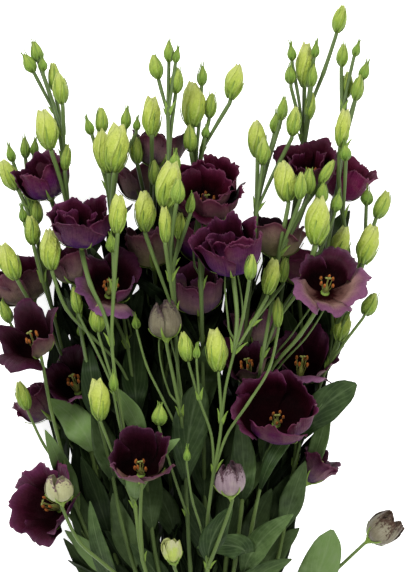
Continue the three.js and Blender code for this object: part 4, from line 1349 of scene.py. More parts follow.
@dataclass
class BloomForm:
    """An open bloom: ruffled petals round a cup, with stamens and a pistil in it.

    Foot_angle and rim_angle are half a petal's angle there, in degrees. Pistil and green_cup are radii
    from foot to top, and anther and stigma are an egg's half sizes.
    """

    rows: int = 17
    cols: int = 30
    thick: float = 0.55
    foot_angle: float = 35.0
    rim_angle: float = 46.0
    dip: float = 1.6
    stamens: int = 6
    filament: float = 0.45
    anther: tuple[float, float, float] = (1.5, 1.2, 3.1)
    stigma: tuple[float, float, float] = (1.9, 1.2, 1.1)
    pistil: tuple[float, ...] = (1.4, 3.0, 3.4, 2.8, 1.3, 0.8, 0.75, 0.9, 0.6)
    green_cup: tuple[float, ...] = (1.7, 2.4, 4.2, 4.9, 2.6)

    def petal(self, head: Head, number: int, inner: bool) -> tuple[Array, Sequence[Array]]:
        """One petal in the bloom's own frame, with its mouth along +Z.

        A point at (u, t) lies on the cup's wall at t * (1 - lobe * t * |u|^p), at the petal's middle angle
        plus u times its half angle. Its radius is divided by cos(u * half * flat), so that the petal is
        flatter than the cup, its right edge is stepped out over its neighbour, its rim rolls out, and
        waves of rising number and falling height ruffle it towards the rim. Its middle has a crease, and
        the petals nearest the picture's foot fold down.

        Args:
            head: The bloom.
            number: Which petal.
            inner: Whether it is one of the smaller petals inside the others.

        Returns:
            The grid, and across and along at each of its points.
        """
        cup, wide = head.cup, head.width
        luck = np.random.default_rng(int(head.seed * 10) + number * 17 + (500 if inner else 0))
        vary = luck.uniform(0.85, 1.15, 6)
        phase = luck.uniform(0, 2 * math.pi, 8)
        across, along = grid_of(self.rows, self.cols, 0.03)
        lobed = (0.5 if inner else 1.0) * self.dip * cup.lobe
        dip = lobed * along * np.abs(across) ** (2.4 * vary[0]) * vary[1]
        top = 1 - dip - 0.035 * along * np.cos(across * 5 + phase[0])
        t = along * top * (luck.uniform(0.6, 0.86) if inner else luck.uniform(0.84, 1.03))
        radius, height = wall_at(cup, wide, head.length, t)
        if inner:
            radius = radius * luck.uniform(0.55, 0.84)
            height = height * luck.uniform(0.9, 1.1) + head.length * 0.04
        rim_angle = self.rim_angle * (1.1 if inner else 1)
        half = math.radians(1) * mix(self.foot_angle, rim_angle, smooth(along * 1.8))
        angle = self.middle(head, number) + math.radians(PETAL_ANGLE / 2 if inner else 0) + half * across
        radius = radius / np.cos(across * half * cup.flat * vary[2])
        radius = radius + cup.step * wide * along * across * 0.8
        radius = radius + along**2 * luck.uniform(-0.15, 0.03) * wide
        height = height * (1 - along**2 * luck.uniform(-0.04, 0.12))
        rim = np.clip((along - 0.55) / 0.45, 0, 1) ** 2
        roll = cup.roll * luck.uniform(0.1, 1.4) * wide
        radius = radius + rim * roll
        height = height - rim * roll * luck.uniform(0.2, 0.9)
        ruffle = cup.ruffle * wide * (0.7 if inner else 1)
        uneven = across + 0.16 * np.sin(across * 6 + phase[7])
        radius = radius + ruffle * waves(
            along, (1.0, 2, across * 4.2 * vary[3] + phase[1]), (0.7, 4, across * 9.5 * vary[4] + phase[2]),
            (0.45, 7, uneven * 18 * vary[5] + phase[3]),
        )
        height = height + ruffle * waves(
            along, (0.6, 3, across * 7 + phase[4]), (0.3, 9, uneven * 25 + phase[5]),
            (0.22, 12, uneven * 37 + phase[6]),
        )
        radius = radius + np.exp(-((across * 5) ** 2)) * (1 - along) * along * wide * 0.05
        near = 0.0 if inner else max(0.0, self.nearness(head, number))
        bend = cup.fold * near * smooth((along - 0.15) / 0.6)
        out, rise = radius - 0.2 * wide, height - 0.3 * head.length
        radius = radius + out * (np.cos(bend) - 1) + rise * np.sin(bend)
        height = height + rise * (np.cos(bend) - 1) - out * np.sin(bend)
        grid = np.stack([np.cos(angle) * radius, np.sin(angle) * radius, height], axis=-1)
        return grid, (across, along)

    def middle(self, head: Head, number: int) -> float:
        """The angle of a petal's middle."""
        return math.radians(PETAL_ANGLE * number + PETAL_ANGLE * draw(head.seed) + head.cup.spin)

    def nearness(self, head: Head, number: int) -> float:
        """How far a petal stands out towards the picture's foot, from -1 to 1.

        Args:
            head: The bloom.
            number: The petal's number.

        Returns:
            The number.
        """
        angle = self.middle(head, number)
        side, up = axes(head.way)
        return -float((side * math.cos(angle) + up * math.sin(angle))[1])

    def turned(self, head: Head, own: Array) -> Array:
        """Points of the bloom's own frame, placed in space over the end of its stalk.

        Args:
            head: The bloom.
            own: The points, +Z out of its mouth.

        Returns:
            The placed points.
        """
        side, up = axes(head.way)
        foot = head.foot + head.way * SEAT_GAP
        placed = foot + own[..., :1] * side + own[..., 1:2] * up + own[..., 2:] * head.way
        placed[..., 2] = rested(placed[..., 2])
        return placed

    def build(self, bag: Bag, head: Head, fade: float, dusk: float) -> None:
        """Adds the petals. In an open or folded bloom the near ones are paler than the far ones, as painted
        light on the near petals and painted shade on the far ones.

        Args:
            bag: Takes the surfaces.
            head: The bloom.
            fade: How pale the petals' outer faces are, and below 0 how ruby.
            dusk: How much their violet turns to dusky olive, from 0 to 1.
        """
        whorls = [(k, False) for k in range(head.cup.petals)]
        whorls += [(k * 2, True) for k in range(head.cup.inner)]
        for number, inner in whorls:
            grid, place = self.petal(head, number, inner)
            thick = self.thick * (1 - 0.5 * place[1] ** 6)
            pale = fade
            # Painted light and shade: a petal facing the picture's foot gets a paler fade, as if lit, and a
            # far one a darker fade, as if shaded.
            if head.cup.flat > 0.5 or head.cup.fold > 0:
                pale = fade * (0.68 + 0.5 * self.nearness(head, number))
            tone = (draw(head.seed + number * 2.7 + inner), pale, dusk)
            bag.sheet(self.turned(head, grid), thick, place, tone, Heart.PETAL)

    def heart(self, bag: Bag, head: Head, share: float | None = None) -> None:
        """Adds the pistil with its two-lobed stigma, and the stamens that stand round it.

        Args:
            bag: Takes the surfaces.
            head: The bloom.
            share: The pistil's height as a share of the cup's.
        """
        if share is None:
            share = 0.62 if head.cup.inner == 0 else 0.36
        tall = head.length * share
        line = np.stack([np.zeros(9), np.zeros(9), np.linspace(1, tall, 9)], axis=1)
        own = level_rings(line, np.array(self.pistil), 10)
        bag.tube(self.turned(head, own), (0.5, 0.5, 0), Heart.PISTIL)
        for sign in (-1, 1):
            lobe = np.array([sign * 1.5, 0.3 * sign, tall + 0.3])
            self._grain(bag, head, lobe, self.stigma, Heart.PISTIL)
        for k in range(self.stamens):
            angle = (k + draw(head.seed + k)) * 2 * math.pi / self.stamens
            out = np.array([math.cos(angle), math.sin(angle), 0.0])
            reach, rise = 5.2 + 2.5 * draw(head.seed + k * 2), tall * (0.65 + 0.22 * draw(head.seed + k * 3))
            t = np.linspace(0, 1, 6)[:, None]
            path = out * (2.5 + (reach - 2.5) * t) + np.array([0, 0, 1]) * (2 + (rise - 2) * t)
            own = level_rings(path, np.full(6, self.filament), 6)
            bag.tube(self.turned(head, own), (0.5, 0.9, 0), Heart.PISTIL)
            self._grain(bag, head, path[-1] + out * 0.4, self.anther, Heart.ANTHER)

    def _grain(self, bag: Bag, head: Head, middle: Array, size: Row, finish: Heart) -> None:
        """Adds an egg shape: its rings have radius sin(pi v) and height -cos(pi v), times its sizes.

        Args:
            bag: Takes the surface.
            head: The bloom.
            middle: Its middle in the bloom's frame.
            size: Its half sizes.
            finish: Number of its finish.
        """
        v = np.linspace(0.06, 0.94, 7)
        line = np.stack([v * 0, v * 0, -np.cos(math.pi * v) * size[2]], axis=1)
        own = level_rings(line, np.sin(math.pi * v), 8) * np.array([size[0], size[1], 1.0]) + middle
        bag.tube(self.turned(head, own), (0.5, 0.5, 0), finish)

    def calyx(self, bag: Bag, head: Head) -> None:
        """Adds the green cup under the petals and the five sepals that lie against them.

        A sepal follows the wall from its foot to between 0.34 and 0.5 of the way to the rim, 0.9 mm
        outside it.

        Args:
            bag: Takes the surfaces.
            head: The bloom.
        """
        v = np.linspace(0, 1, 8)
        line = np.stack([v * 0, v * 0, mix(-7.0, 3.0, v)], axis=1)
        own = level_rings(line, spline(np.array(self.green_cup), v * 4), 10)
        bag.tube(self.turned(head, own), (draw(head.seed), 0.8, 0), Layer.SEPAL)
        across, along = grid_of(10, 5)
        for k in range(5):
            reach = 0.34 + 0.16 * draw(head.seed + k * 1.7)
            radius, height = wall_at(head.cup, head.width, head.length, along * reach)
            radius = np.maximum(radius, 4.4) + 0.9 + head.cup.step * head.width * along * 0.25
            half = 1.9 * (1 - along**1.6) ** 0.8 + 0.15
            angle = math.radians(PETAL_ANGLE * (k + 0.5) + PETAL_ANGLE * draw(head.seed))
            angle = angle + across * half / np.maximum(radius, 4)
            radius = radius + 1.5 * along**3 * draw(head.seed + k)
            height = height - 1.2 * (1 - along)
            own = np.stack([np.cos(angle) * radius, np.sin(angle) * radius, height], axis=-1)
            thick = 0.35 + 0.5 * (1 - np.abs(across))
            tone = (draw(head.seed + k), 0.8, 0)
            bag.sheet(self.turned(head, own), thick, (across, along), tone, Layer.SEPAL)


# How light the planned leaves that are seen well are, by their row in the table, as painted light and shade;
# above 1 they are sunlit
LEAF_LIGHT_AND_SHADE = {
    0: 1.8, 1: 1.1, 2: 0.25, 3: 1.1, 4: 0.5, 5: 0.15, 6: 1.0, 7: 0.9, 8: 0.12, 9: 0.1, 10: 0.15, 11: 0.05,
    12: 0.5, 13: 0.35, 14: 1.0, 16: 0.5, 17: 0.2, 18: 0.5, 19: 0.25, 20: 0.5, 21: 0.2, 22: 0.6, 23: 0.35,
    27: -0.4, 28: 0.1, 38: 0.55, 40: 0.1,
}
BLUNT_LEAVES = (5, 8, 14)


@dataclass
class StemForm:
    """A stem's tubes, the small bracts at its forks and its leaves.

    Plump and dark are (height over the cut ends where it begins, over how much it grows). Pointed, broad
    and bract are half widths from root to tip, as shares.
    """

    sides: int = 9
    knee: float = 0.2
    knee_reach: float = 3.2
    fullness: float = 1.5
    plump: tuple[float, float] = (430.0, 150.0)
    dark: tuple[float, float] = (560.0, 160.0)
    bract_length: float = 13.0
    bract_width: float = 3.4
    # Shade is how much painted shade darkens the lowest planned leaves.
    shade: float = 0.7
    fold: float = 0.16
    stout: float = 1.1
    wave: float = 0.045
    pointed: tuple[float, ...] = (0.2, 0.5, 0.83, 1.0, 1.0, 0.9, 0.7, 0.42, 0.05)
    broad: tuple[float, ...] = (0.2, 0.42, 0.7, 0.92, 1.04, 1.06, 0.96, 0.7, 0.1)
    bract: tuple[float, ...] = (0.7, 1.0, 0.8, 0.45, 0.06)

    def tube(self, bag: Bag, strand: Strand) -> None:
        """Adds the strand's tube, with a low knee where stalks leave it.

        It tapers from root to tip and is plumper high up in the bunch, and where its head is high up it
        is darker green.

        Args:
            bag: Takes the surface.
            strand: The stem or stalk.
        """
        line = strand.line
        share = np.linspace(0, 1, len(line))
        high = smooth((line[:, 1] - self.plump[0]) / self.plump[1]) * smooth(share * 1.3)
        radius = mix(strand.root, strand.tip, share) * mix(1.0, self.fullness, high)
        for knot in strand.knots[2:-2]:
            away = np.linalg.norm(line - knot, axis=1)
            radius = radius * (1 + self.knee * np.exp(-((away / self.knee_reach) ** 2)))
        sides = self.sides if strand.main else self.sides - 1
        dark = float(np.clip((strand.head.base[1] - self.dark[0]) / self.dark[1], 0, 1))
        tone = (draw(strand.head.seed) * (1 - 0.6 * dark), mix(1.0 if strand.main else 0.6, 0.0, dark), 0)
        bag.tube(rings_round(line, radius, sides), tone, Layer.STEM)

    def bracts(self, bag: Bag, strand: Strand) -> None:
        """Adds the pair of small pointed bracts at a stalk's root.

        Args:
            bag: Takes the surfaces.
            strand: The stalk.
        """
        line = strand.line
        if strand.main or len(line) < 6:
            return
        way = unit(line[3] - line[0])
        side, up = axes(way)
        for sign in (-1, 1):
            luck = draw(strand.head.seed + sign * 2.2)
            length = self.bract_length * mix(0.5, 1.3, luck)
            t = np.linspace(0, 1, 8)[:, None]
            out = side * sign * mix(0.6, 1.0, luck) + up * mix(-0.5, 0.7, draw(strand.head.seed + sign))
            path = line[0] + way * (length * t) + out * (1.2 + length * 0.3 * t**1.6)
            grid, thick, place = blade(path, self.bract_width, np.array(self.bract), 0.5, 0.0, 5, 0.7)
            bag.sheet(grid, thick, place, (luck, 0.2, 0), Layer.SEPAL)

    def leaf(
        self, bag: Bag, line: Array, width: float, roll: float, seed: float, depth: float, rows: int = 20,
        cols: int = 9, tone: float | None = None, blunt: bool = False,
    ) -> None:
        """Adds one leaf.

        Args:
            bag: Takes the surface.
            line: Its midrib, bent through a few points.
            width: Greatest width.
            roll: Turn round the midrib, in radians.
            seed: Which leaf, for its waves and its tone.
            depth: How deep it lies in the bunch, from 0 to 1, which darkens it as painted shade.
            rows: Points along it.
            cols: Points across it.
            tone: How light it is, or None for any.
            blunt: Whether it is broadest near a rounded tip.
        """
        fine = spline(line, np.linspace(0, len(line) - 1, rows))
        profile = np.array(self.broad if blunt else self.pointed)
        wave = width * self.wave
        grid, thick, place = blade(fine, width, profile, self.fold, roll, cols, self.stout, wave, draw(seed))
        grid[..., 2] = rested(grid[..., 2], 2.0)
        light = draw(seed * 1.7) if tone is None else tone
        bag.sheet(grid, thick, place, (light, 0.5, depth), Layer.LEAF)

    def planned_leaf(self, bag: Bag, leaf: LeafPlan) -> None:
        """Adds a leaf of the table, along the midrib that it settled in. A low leaf gets painted shade
        through its depth, and a light one has no depth.

        Args:
            bag: Takes the surface.
            leaf: The leaf.
        """
        tone = LEAF_LIGHT_AND_SHADE.get(leaf.index)
        depth = self.shade * (1 - leaf.level) * (0.0 if tone is not None and tone > 0.7 else 1.0)
        blunt = leaf.index in BLUNT_LEAVES
        self.leaf(bag, leaf.line, leaf.width, leaf.roll, leaf.index + 1.5, depth, tone=tone, blunt=blunt)


@dataclass
class Undergrowth:
    """The leaves and shoots that fill the bunch's inside, under what is planned. Most of the leaves are
    darkened nearly to black as painted shade, and a few are left lit.

    Leaves stand in opposite pairs up each stem, every `step` from `first` to `last`, and on the stalks
    from `forked` on. Shoots stand beside the stalks of blooms beyond `shooting`. All these are heights
    over the cut ends. Lengths, widths and highest go from the foot of the inside to its top. Edges are
    (down, left, right): how far across the inside goes. Windows are (across, down, radius), where the
    floor shows between the stems. Spares are single leaves that fill a gap: (stem, across and down at the
    foot, across and down at the tip, width, height at the foot and at the tip, depth).
    """

    growth: Growth
    form: StemForm
    first: float = 150.0
    forked: float = 440.0
    last: float = 575.0
    step: float = 18.0
    lengths: tuple[float, float] = (88.0, 58.0)
    widths: tuple[float, float] = (17.0, 16.0)
    lowest: float = 2.5
    highest: tuple[float, float] = (30.0, 80.0)
    lit_share: float = 0.2
    shooting: float = 400.0
    shoot_radius: float = 1.3
    edges: tuple[tuple[float, float, float], ...] = (
        (190, 146, 189), (215, 108, 242), (240, 90, 304), (270, 72, 334), (300, 55, 349), (340, 47, 349),
        (400, 54, 326), (440, 60, 318), (480, 70, 302), (540, 70, 296), (575, 66, 298), (640, 112, 284),
        (700, 166, 244),
    )
    windows: tuple[tuple[float, float, float], ...] = ((247, 206, 7), (259, 266, 6), (273, 190, 7))
    # A spare's last number is its depth, which darkens it as painted shade.
    spares: tuple[tuple[float, ...], ...] = (
        (13, 302, 488, 331, 402, 18, 40, 60, 0.15), (5, 150, 372, 145, 298, 15, 20, 12, 1.0),
        (1, 64, 340, 62, 275, 15, 14, 8, 1.0), (2, 48, 385, 50, 342, 13, 14, 8, 0.9),
        (2, 57, 330, 54, 278, 13, 12, 8, 1.0), (3, 94, 592, 62, 541, 15, 14, 16, 0.5),
        (2, 66, 462, 46, 415, 14, 12, 8, 0.7), (3, 78, 474, 66, 422, 13, 14, 12, 0.8),
        (9, 234, 418, 228, 352, 14, 20, 20, 1.0), (5, 146, 345, 141, 288, 12, 16, 12, 1.0),
        (4, 108, 405, 102, 355, 12, 14, 12, 1.0), (5, 154, 424, 147, 366, 13, 20, 16, 1.0),
    )

    def __post_init__(self) -> None:
        """Gathers rows of (x, y, height, reach): inside its reach no leaf rises over the height."""
        rows = []
        for head in self.growth.heads:
            middle = head.foot + head.way * head.length * 0.5
            ball = max(head.width, head.length) * 0.5 + 3
            rows.append((middle[0], middle[1], middle[2] - ball, ball))
        for leaf in self.growth.leaves:
            for x, y, z in spline(leaf.line[1:], np.linspace(0, len(leaf.line) - 2, 8)):
                rows.append((x, y, z - 4, leaf.width / 2 + 4))
        self.ceilings = np.array(rows)

    def build(self, bag: Bag, number: int) -> None:
        """Adds what one stem has: its shoots, its spare leaves, and the leaves of all its strands.

        Args:
            bag: Takes the surfaces.
            number: The stem's number.
        """
        strands = [strand for strand in self.growth.strands if strand.stem == number]
        for strand in strands:
            if strand.head.kind is Kind.BLOOM and strand.head.base[1] >= self.shooting:
                self.shoots(bag, strand)
        for stem, across, down, tip_across, tip_down, width, low, high, depth in self.spares:
            if stem == number:
                ends = np.array([[*to_plan((across, down)), low], [*to_plan((tip_across, tip_down)), high]])
                t = np.linspace(0, 1, 6)[:, None]
                path = ends[0] * (1 - t) + ends[1] * t + np.array([3.0, 0, 4.0]) * np.sin(math.pi * t)
                self.form.leaf(bag, path, width, 0.3, down, depth, tone=0.6)
        for strand in strands:
            self.leafy(bag, strand)

    def leafy(self, bag: Bag, strand: Strand) -> None:
        """Adds the pairs of one stem or stalk. Each stands across the last one, and bends out and up.

        Args:
            bag: Takes the surfaces.
            strand: The stem or stalk.
        """
        line = strand.line
        number = strand.stem + strand.head.seed * (not strand.main)
        way = unit(np.gradient(line, axis=0))
        side, up = axes(way)
        first = self.first if strand.main else self.forked
        for k, y in enumerate(np.arange(first, self.last, self.step)):
            i = int(np.argmin(np.abs(line[:, 1] - y)))
            if abs(line[i, 1] - y) > 4 or i > len(line) - 8:
                continue
            share = (y - self.first) / (self.last - self.first)
            for sign in (-1, 1):
                seed = number * 31 + k * 7 + sign
                luck, other = draw(seed), draw(seed + 0.6)
                length = mix(*self.lengths, share) * mix(0.7, 1.2, luck)
                width = mix(*self.widths, share) * mix(0.7, 1.2, draw(seed + 2))
                angle = (k % 2) * math.pi / 2 + math.pi * draw(number) + (0 if sign > 0 else math.pi)
                out = side[i] * math.cos(angle) + up[i] * math.sin(angle) * 0.4
                t = np.linspace(0, 1, 6)[:, None]
                lean = mix(0.12, mix(0.42, 0.85, share), other)
                path = line[i] + way[i] * (length * t * 0.92) + out * (length * lean * t**1.3)
                path = path - np.array([0, 0, 1.0]) * (mix(6, 26, draw(seed + 4)) * t)
                path = self.kept_in(path, width)
                if path is not None:
                    # Painted light and shade: a few lower leaves are left lit, and the rest are darkened
                    # nearly to black.
                    depth = 0.45 if draw(seed + 5) < self.lit_share * (1 - share) else mix(0.8, 1.0, luck)
                    self.form.leaf(bag, path, width, mix(-1.1, 1.1, other), seed, depth, 11, 5)

    def shoots(self, bag: Bag, strand: Strand) -> None:
        """Adds the spare shoots: one on each side of a bloom's stalk, where both ends stay in the bunch.

        Args:
            bag: Takes the surfaces.
            strand: The bloom's stalk.
        """
        for sign in (-1, 1):
            luck = draw(strand.head.seed + 4 * sign)
            path = strand.line[int(len(strand.line) * 0.15):].copy()
            if len(path) < 12:
                continue
            t = np.linspace(0, 1, len(path))
            path[:, 0] += sign * mix(5, 13, luck) * np.sin(math.pi * (0.15 + 0.6 * t)) * smooth(t * 5)
            path[:, 2] -= mix(6, 16, luck) * smooth(t * 4)
            path[:, 2] = np.maximum(path[:, 2], self.lowest)
            if self.outside(path).max() > -12:
                continue
            rings = rings_round(path, mix(self.shoot_radius, 0.8, t), self.form.sides - 2)
            bag.tube(rings, (luck, 0.5, 0), Layer.STEM)

    def outside(self, path: Array) -> Array:
        """How far each point of a path lies outside the bunch's edges, below nothing where it is inside.

        Args:
            path: The points, one a row.

        Returns:
            The distances.
        """
        downs, lefts, rights = np.array(self.edges).T
        down = LENGTH - path[:, 1]
        left = np.interp(down, downs, lefts) - MIDDLE_ACROSS
        right = np.interp(down, downs, rights) - MIDDLE_ACROSS
        beyond = np.maximum(left - path[:, 0], path[:, 0] - right)
        return np.where((down < downs[0]) | (down > downs[-1]), 99.0, beyond)

    def kept_in(self, path: Array, width: float) -> Array | None:
        """Keeps a leaf inside the bunch's edges, and under every head and planned leaf.

        Args:
            path: The leaf's midrib.
            width: Its width.

        Returns:
            The midrib, or None where it finds no room.
        """
        if self.outside(path).max() > 5.0 - 8.0 * draw(path[0, 1] * 3.3):
            return None
        for *place, radius in self.windows:
            away = np.linalg.norm(path[:, :2] - to_plan(place), axis=1)
            if away.min() < radius + width * 0.12:
                return None
        rows = self.ceilings
        away = np.linalg.norm(path[:, None, :2] - rows[None, :, :2], axis=2) - width * 0.25
        highest = mix(*self.highest, smooth((path[:, 1] - 230) / 160))
        ceiling = np.where(away < rows[:, 3], rows[:, 2], highest[:, None]).min(axis=1)
        ceiling[1:-1] = np.minimum(ceiling[1:-1], (ceiling[:-2] + ceiling[2:]) / 2 + 4)
        path[:, 2] = np.clip(np.minimum(path[:, 2], ceiling), self.lowest, None)
        return path


@dataclass
class TieForm:
    """The twine round the stems: close windings of a twisted two-ply cord."""

    turns: int = 6
    twine: float = 2.2
    sides: int = 8
    per_turn: int = 72

    def build(self, bag: Bag) -> None:
        """Adds the windings.

        The cord's line is a helix of the tie's radius round the stems. Its own radius swells and shrinks
        round the cord as 1 + 0.16 cos(2a + turns of the ply), which twists two plies.

        Args:
            bag: Takes the surface.
        """
        count = self.turns * self.per_turn
        t = np.linspace(0, self.turns, count)
        angle = t * 2 * math.pi
        middle = np.array([0, LENGTH - TIE_DOWN, TIE_HEIGHT])
        radius = TIE_RADIUS + self.twine / 2 - 0.25
        y = (t / self.turns - 0.5) * (TIE_WIDTH - self.twine)
        line = middle + np.stack([np.cos(angle) * radius, y, np.sin(angle) * radius], axis=1)
        line[:, 2] = np.maximum(line[:, 2], self.twine / 2 + 0.05)
        out = unit(line - middle - np.stack([t * 0, y, t * 0], axis=1))
        along = unit(np.gradient(line, axis=0))
        across = np.cross(along, out)
        around = np.arange(self.sides) * 2 * math.pi / self.sides
        ply = 1 + 0.16 * np.cos(2 * around + t[:, None] * 60)
        out_of_line = spokes(around, out[:, None], -across[:, None])
        rings = line[:, None] + out_of_line * (self.twine / 2 * ply / 1.16)[..., None]
        bag.tube(rings, (0.5, 0.5, 0), 0)


Colour = tuple[float, float, float]
Stops = Sequence[tuple[float, Colour]]
SQUARE = ((-1, -1), (1, -1), (1, 1), (-1, 1))


class Wire:
    """A number that varies over a surface. Arithmetic on it adds the nodes that work the result out."""

    def __init__(self, graph: "Graph", socket: Any) -> None:
        """Wraps a node's output socket."""
        self.graph, self.socket = graph, socket

    def __add__(self, other: Any) -> "Wire":
        """The sum."""
        return self.graph.math("ADD", self, other)

    def __sub__(self, other: Any) -> "Wire":
        """The difference."""
        return self.graph.math("SUBTRACT", self, other)

    def __rsub__(self, other: Any) -> "Wire":
        """The difference from a plain number."""
        return self.graph.math("SUBTRACT", other, self)

    def __mul__(self, other: Any) -> "Wire":
        """The product."""
        return self.graph.math("MULTIPLY", self, other)

    def held(self) -> "Wire":
        """The same number, held between 0 and 1."""
        self.socket.node.use_clamp = True
        return self


class Graph:
    """A material's node tree, built up socket by socket round one Principled shader."""

    def __init__(self, name: str) -> None:
        """Starts an empty material of that name.

        Args:
            name: The material's name.
        """
        self.material = bpy.data.materials.new(name)
        self.material.use_nodes = True
        self.tree = self.material.node_tree
        self.tree.nodes.clear()
        self.shader = self.node("ShaderNodeBsdfPrincipled")
        self.put(self.node("ShaderNodeOutputMaterial").inputs["Surface"], self.shader.outputs["BSDF"])

    def node(self, kind: str) -> bpy.types.Node:
        """A new shader node of a kind."""
        return self.tree.nodes.new(kind)

    def put(self, socket: Any, value: Any) -> None:
        """Links a socket to a wire or an output, or sets a plain value on it.

        Args:
            socket: The input.
            value: What goes into it.
        """
        value = value.socket if isinstance(value, Wire) else value
        if isinstance(value, bpy.types.NodeSocket):
            self.tree.links.new(value, socket)
        else:
            socket.default_value = value

    def attribute(self, name: str) -> list[Wire]:
        """The three numbers of a vector that the surface carries.

        Args:
            name: The attribute's name.

        Returns:
            A wire for each number.
        """
        node, parts = self.node("ShaderNodeAttribute"), self.node("ShaderNodeSeparateXYZ")
        node.attribute_name = name
        self.put(parts.inputs[0], node.outputs["Vector"])
        return [Wire(self, part) for part in parts.outputs]

    def painted_shade(self) -> Wire:
        """How much painted shade the surface gets, by how deep it lies in the bunch.

        Returns:
            A wire from 0 to 1.
        """
        node = self.node("ShaderNodeAttribute")
        node.attribute_name = "painted_shade"
        return Wire(self, node.outputs["Fac"])

    def math(self, operation: str, a: Any, b: Any = 0.5) -> Wire:
        """One arithmetic step on two numbers or wires.

        Args:
            operation: The step's name in Blender.
            a: The first.
            b: The second.

        Returns:
            The result.
        """
        node = self.node("ShaderNodeMath")
        node.operation = operation
        self.put(node.inputs[0], a)
        self.put(node.inputs[1], b)
        return Wire(self, node.outputs[0])

    def vector(self, x: Any, y: Any, z: Any) -> Any:
        """A vector from three numbers or wires.

        Args:
            x: The first.
            y: The second.
            z: The third.

        Returns:
            The output that carries it.
        """
        node = self.node("ShaderNodeCombineXYZ")
        for socket, value in zip(node.inputs, (x, y, z)):
            self.put(socket, value)
        return node.outputs[0]

    def noise(self, scale: float, detail: float = 2.0, rough: float = 0.55, at: Any = None) -> Wire:
        """Soft noise from 0 to 1, at a place or else at the place on the object in metres.

        Args:
            scale: How fine it is.
            detail: How many finer layers it has.
            rough: How strong they are.
            at: The place, as a vector.

        Returns:
            The noise.
        """
        node = self.node("ShaderNodeTexNoise")
        if at is None:
            at = self.node("ShaderNodeTexCoord").outputs["Object"]
        for label, value in (("Vector", at), ("Scale", scale), ("Detail", detail), ("Roughness", rough)):
            self.put(node.inputs[label], value)
        return Wire(self, node.outputs["Fac"])

    def ramp(self, share: Any, stops: Stops) -> Any:
        """A colour that runs through the stops as the share goes from 0 to 1.

        Args:
            share: The place on the ramp.
            stops: Places and their colours.

        Returns:
            The output that carries the colour.
        """
        node = self.node("ShaderNodeValToRGB")
        band = node.color_ramp
        while len(band.elements) < len(stops):
            band.elements.new(0.5)
        for element, (at, colour) in zip(band.elements, stops):
            element.position = at
            element.color = (*colour, 1)
        self.put(node.inputs[0], share)
        return node.outputs[0]

    def blend(self, share: Any, a: Any, b: Any, how: str = "MIX") -> Any:
        """Two colours mixed by a share.

        Args:
            share: How much of the second.
            a: The first colour.
            b: The second colour.
            how: The way of mixing, in Blender's words.

        Returns:
            The output that carries the colour.
        """
        node = self.node("ShaderNodeMix")
        node.data_type = "RGBA"
        node.blend_type = how
        self.put(node.inputs[0], share)
        for socket, value in ((node.inputs[6], a), (node.inputs[7], b)):
            self.put(socket, (*value, 1) if isinstance(value, tuple) else value)
        return node.outputs[2]

    def scaled(self, colour: Any, red: Any, green: Any = None, blue: Any = None) -> Any:
        """A colour times a number, or its three parts times a number each."""
        green, blue = (red if part is None else part for part in (green, blue))
        return self.blend(1.0, colour, self.vector(red, green, blue), "MULTIPLY")

    def bump(self, height: Any, strength: float, distance: float) -> None:
        """Raises the surface by a pattern, distance in metres.

        Args:
            height: The pattern.
            strength: How much of it shows.
            distance: Its height in metres.
        """
        node = self.node("ShaderNodeBump")
        for label, value in (("Strength", strength), ("Distance", distance), ("Height", height)):
            self.put(node.inputs[label], value)
        self.put(self.shader.inputs["Normal"], node.outputs[0])

    def finish(
        self, colour: Any, roughness: Any, specular: Any, dim: Any = None, sheen: float = 0.0,
    ) -> None:
        """Sets the shader.

        Args:
            colour: The base colour.
            roughness: The roughness.
            specular: The specular level.
            dim: How strongly painted shade darkens a deep place: the share of its colour and of its specular
                level that it loses.
            sheen: The sheen's weight.
        """
        # Painted shade: deep places lose some of their colour and specular level.
        if dim is not None:
            lit = 1.0 - self.painted_shade() * dim
            colour, specular = self.scaled(colour, lit), lit * specular
        self.put(self.shader.inputs["Base Color"], colour)
        self.put(self.shader.inputs["Roughness"], roughness)
        self.put(self.shader.inputs["Specular IOR Level"], specular)
        self.shader.inputs["Sheen Weight"].default_value = sheen
        self.shader.inputs["Sheen Roughness"].default_value = 0.4


class Finish(ABC):
    """The look of one kind of surface."""

    def make(self, name: str) -> bpy.types.Material:
        """Builds the material.

        Args:
            name: Its name.

        Returns:
            The material, which reads the place and the tone that the surface carries.
        """
        g = Graph(name)
        self.paint(g, g.attribute("place"), g.attribute("tone"))
        return g.material

    @abstractmethod
    def paint(self, g: Graph, place: list[Wire], tone: list[Wire]) -> None:
        """Adds the nodes that give the surface its colour, roughness and relief.

        Args:
            g: Takes the nodes.
            place: Across from -1 to 1, along from 0 to 1, and 1 on an inner face.
            tone: Luck, and two numbers of the finish's own.
        """


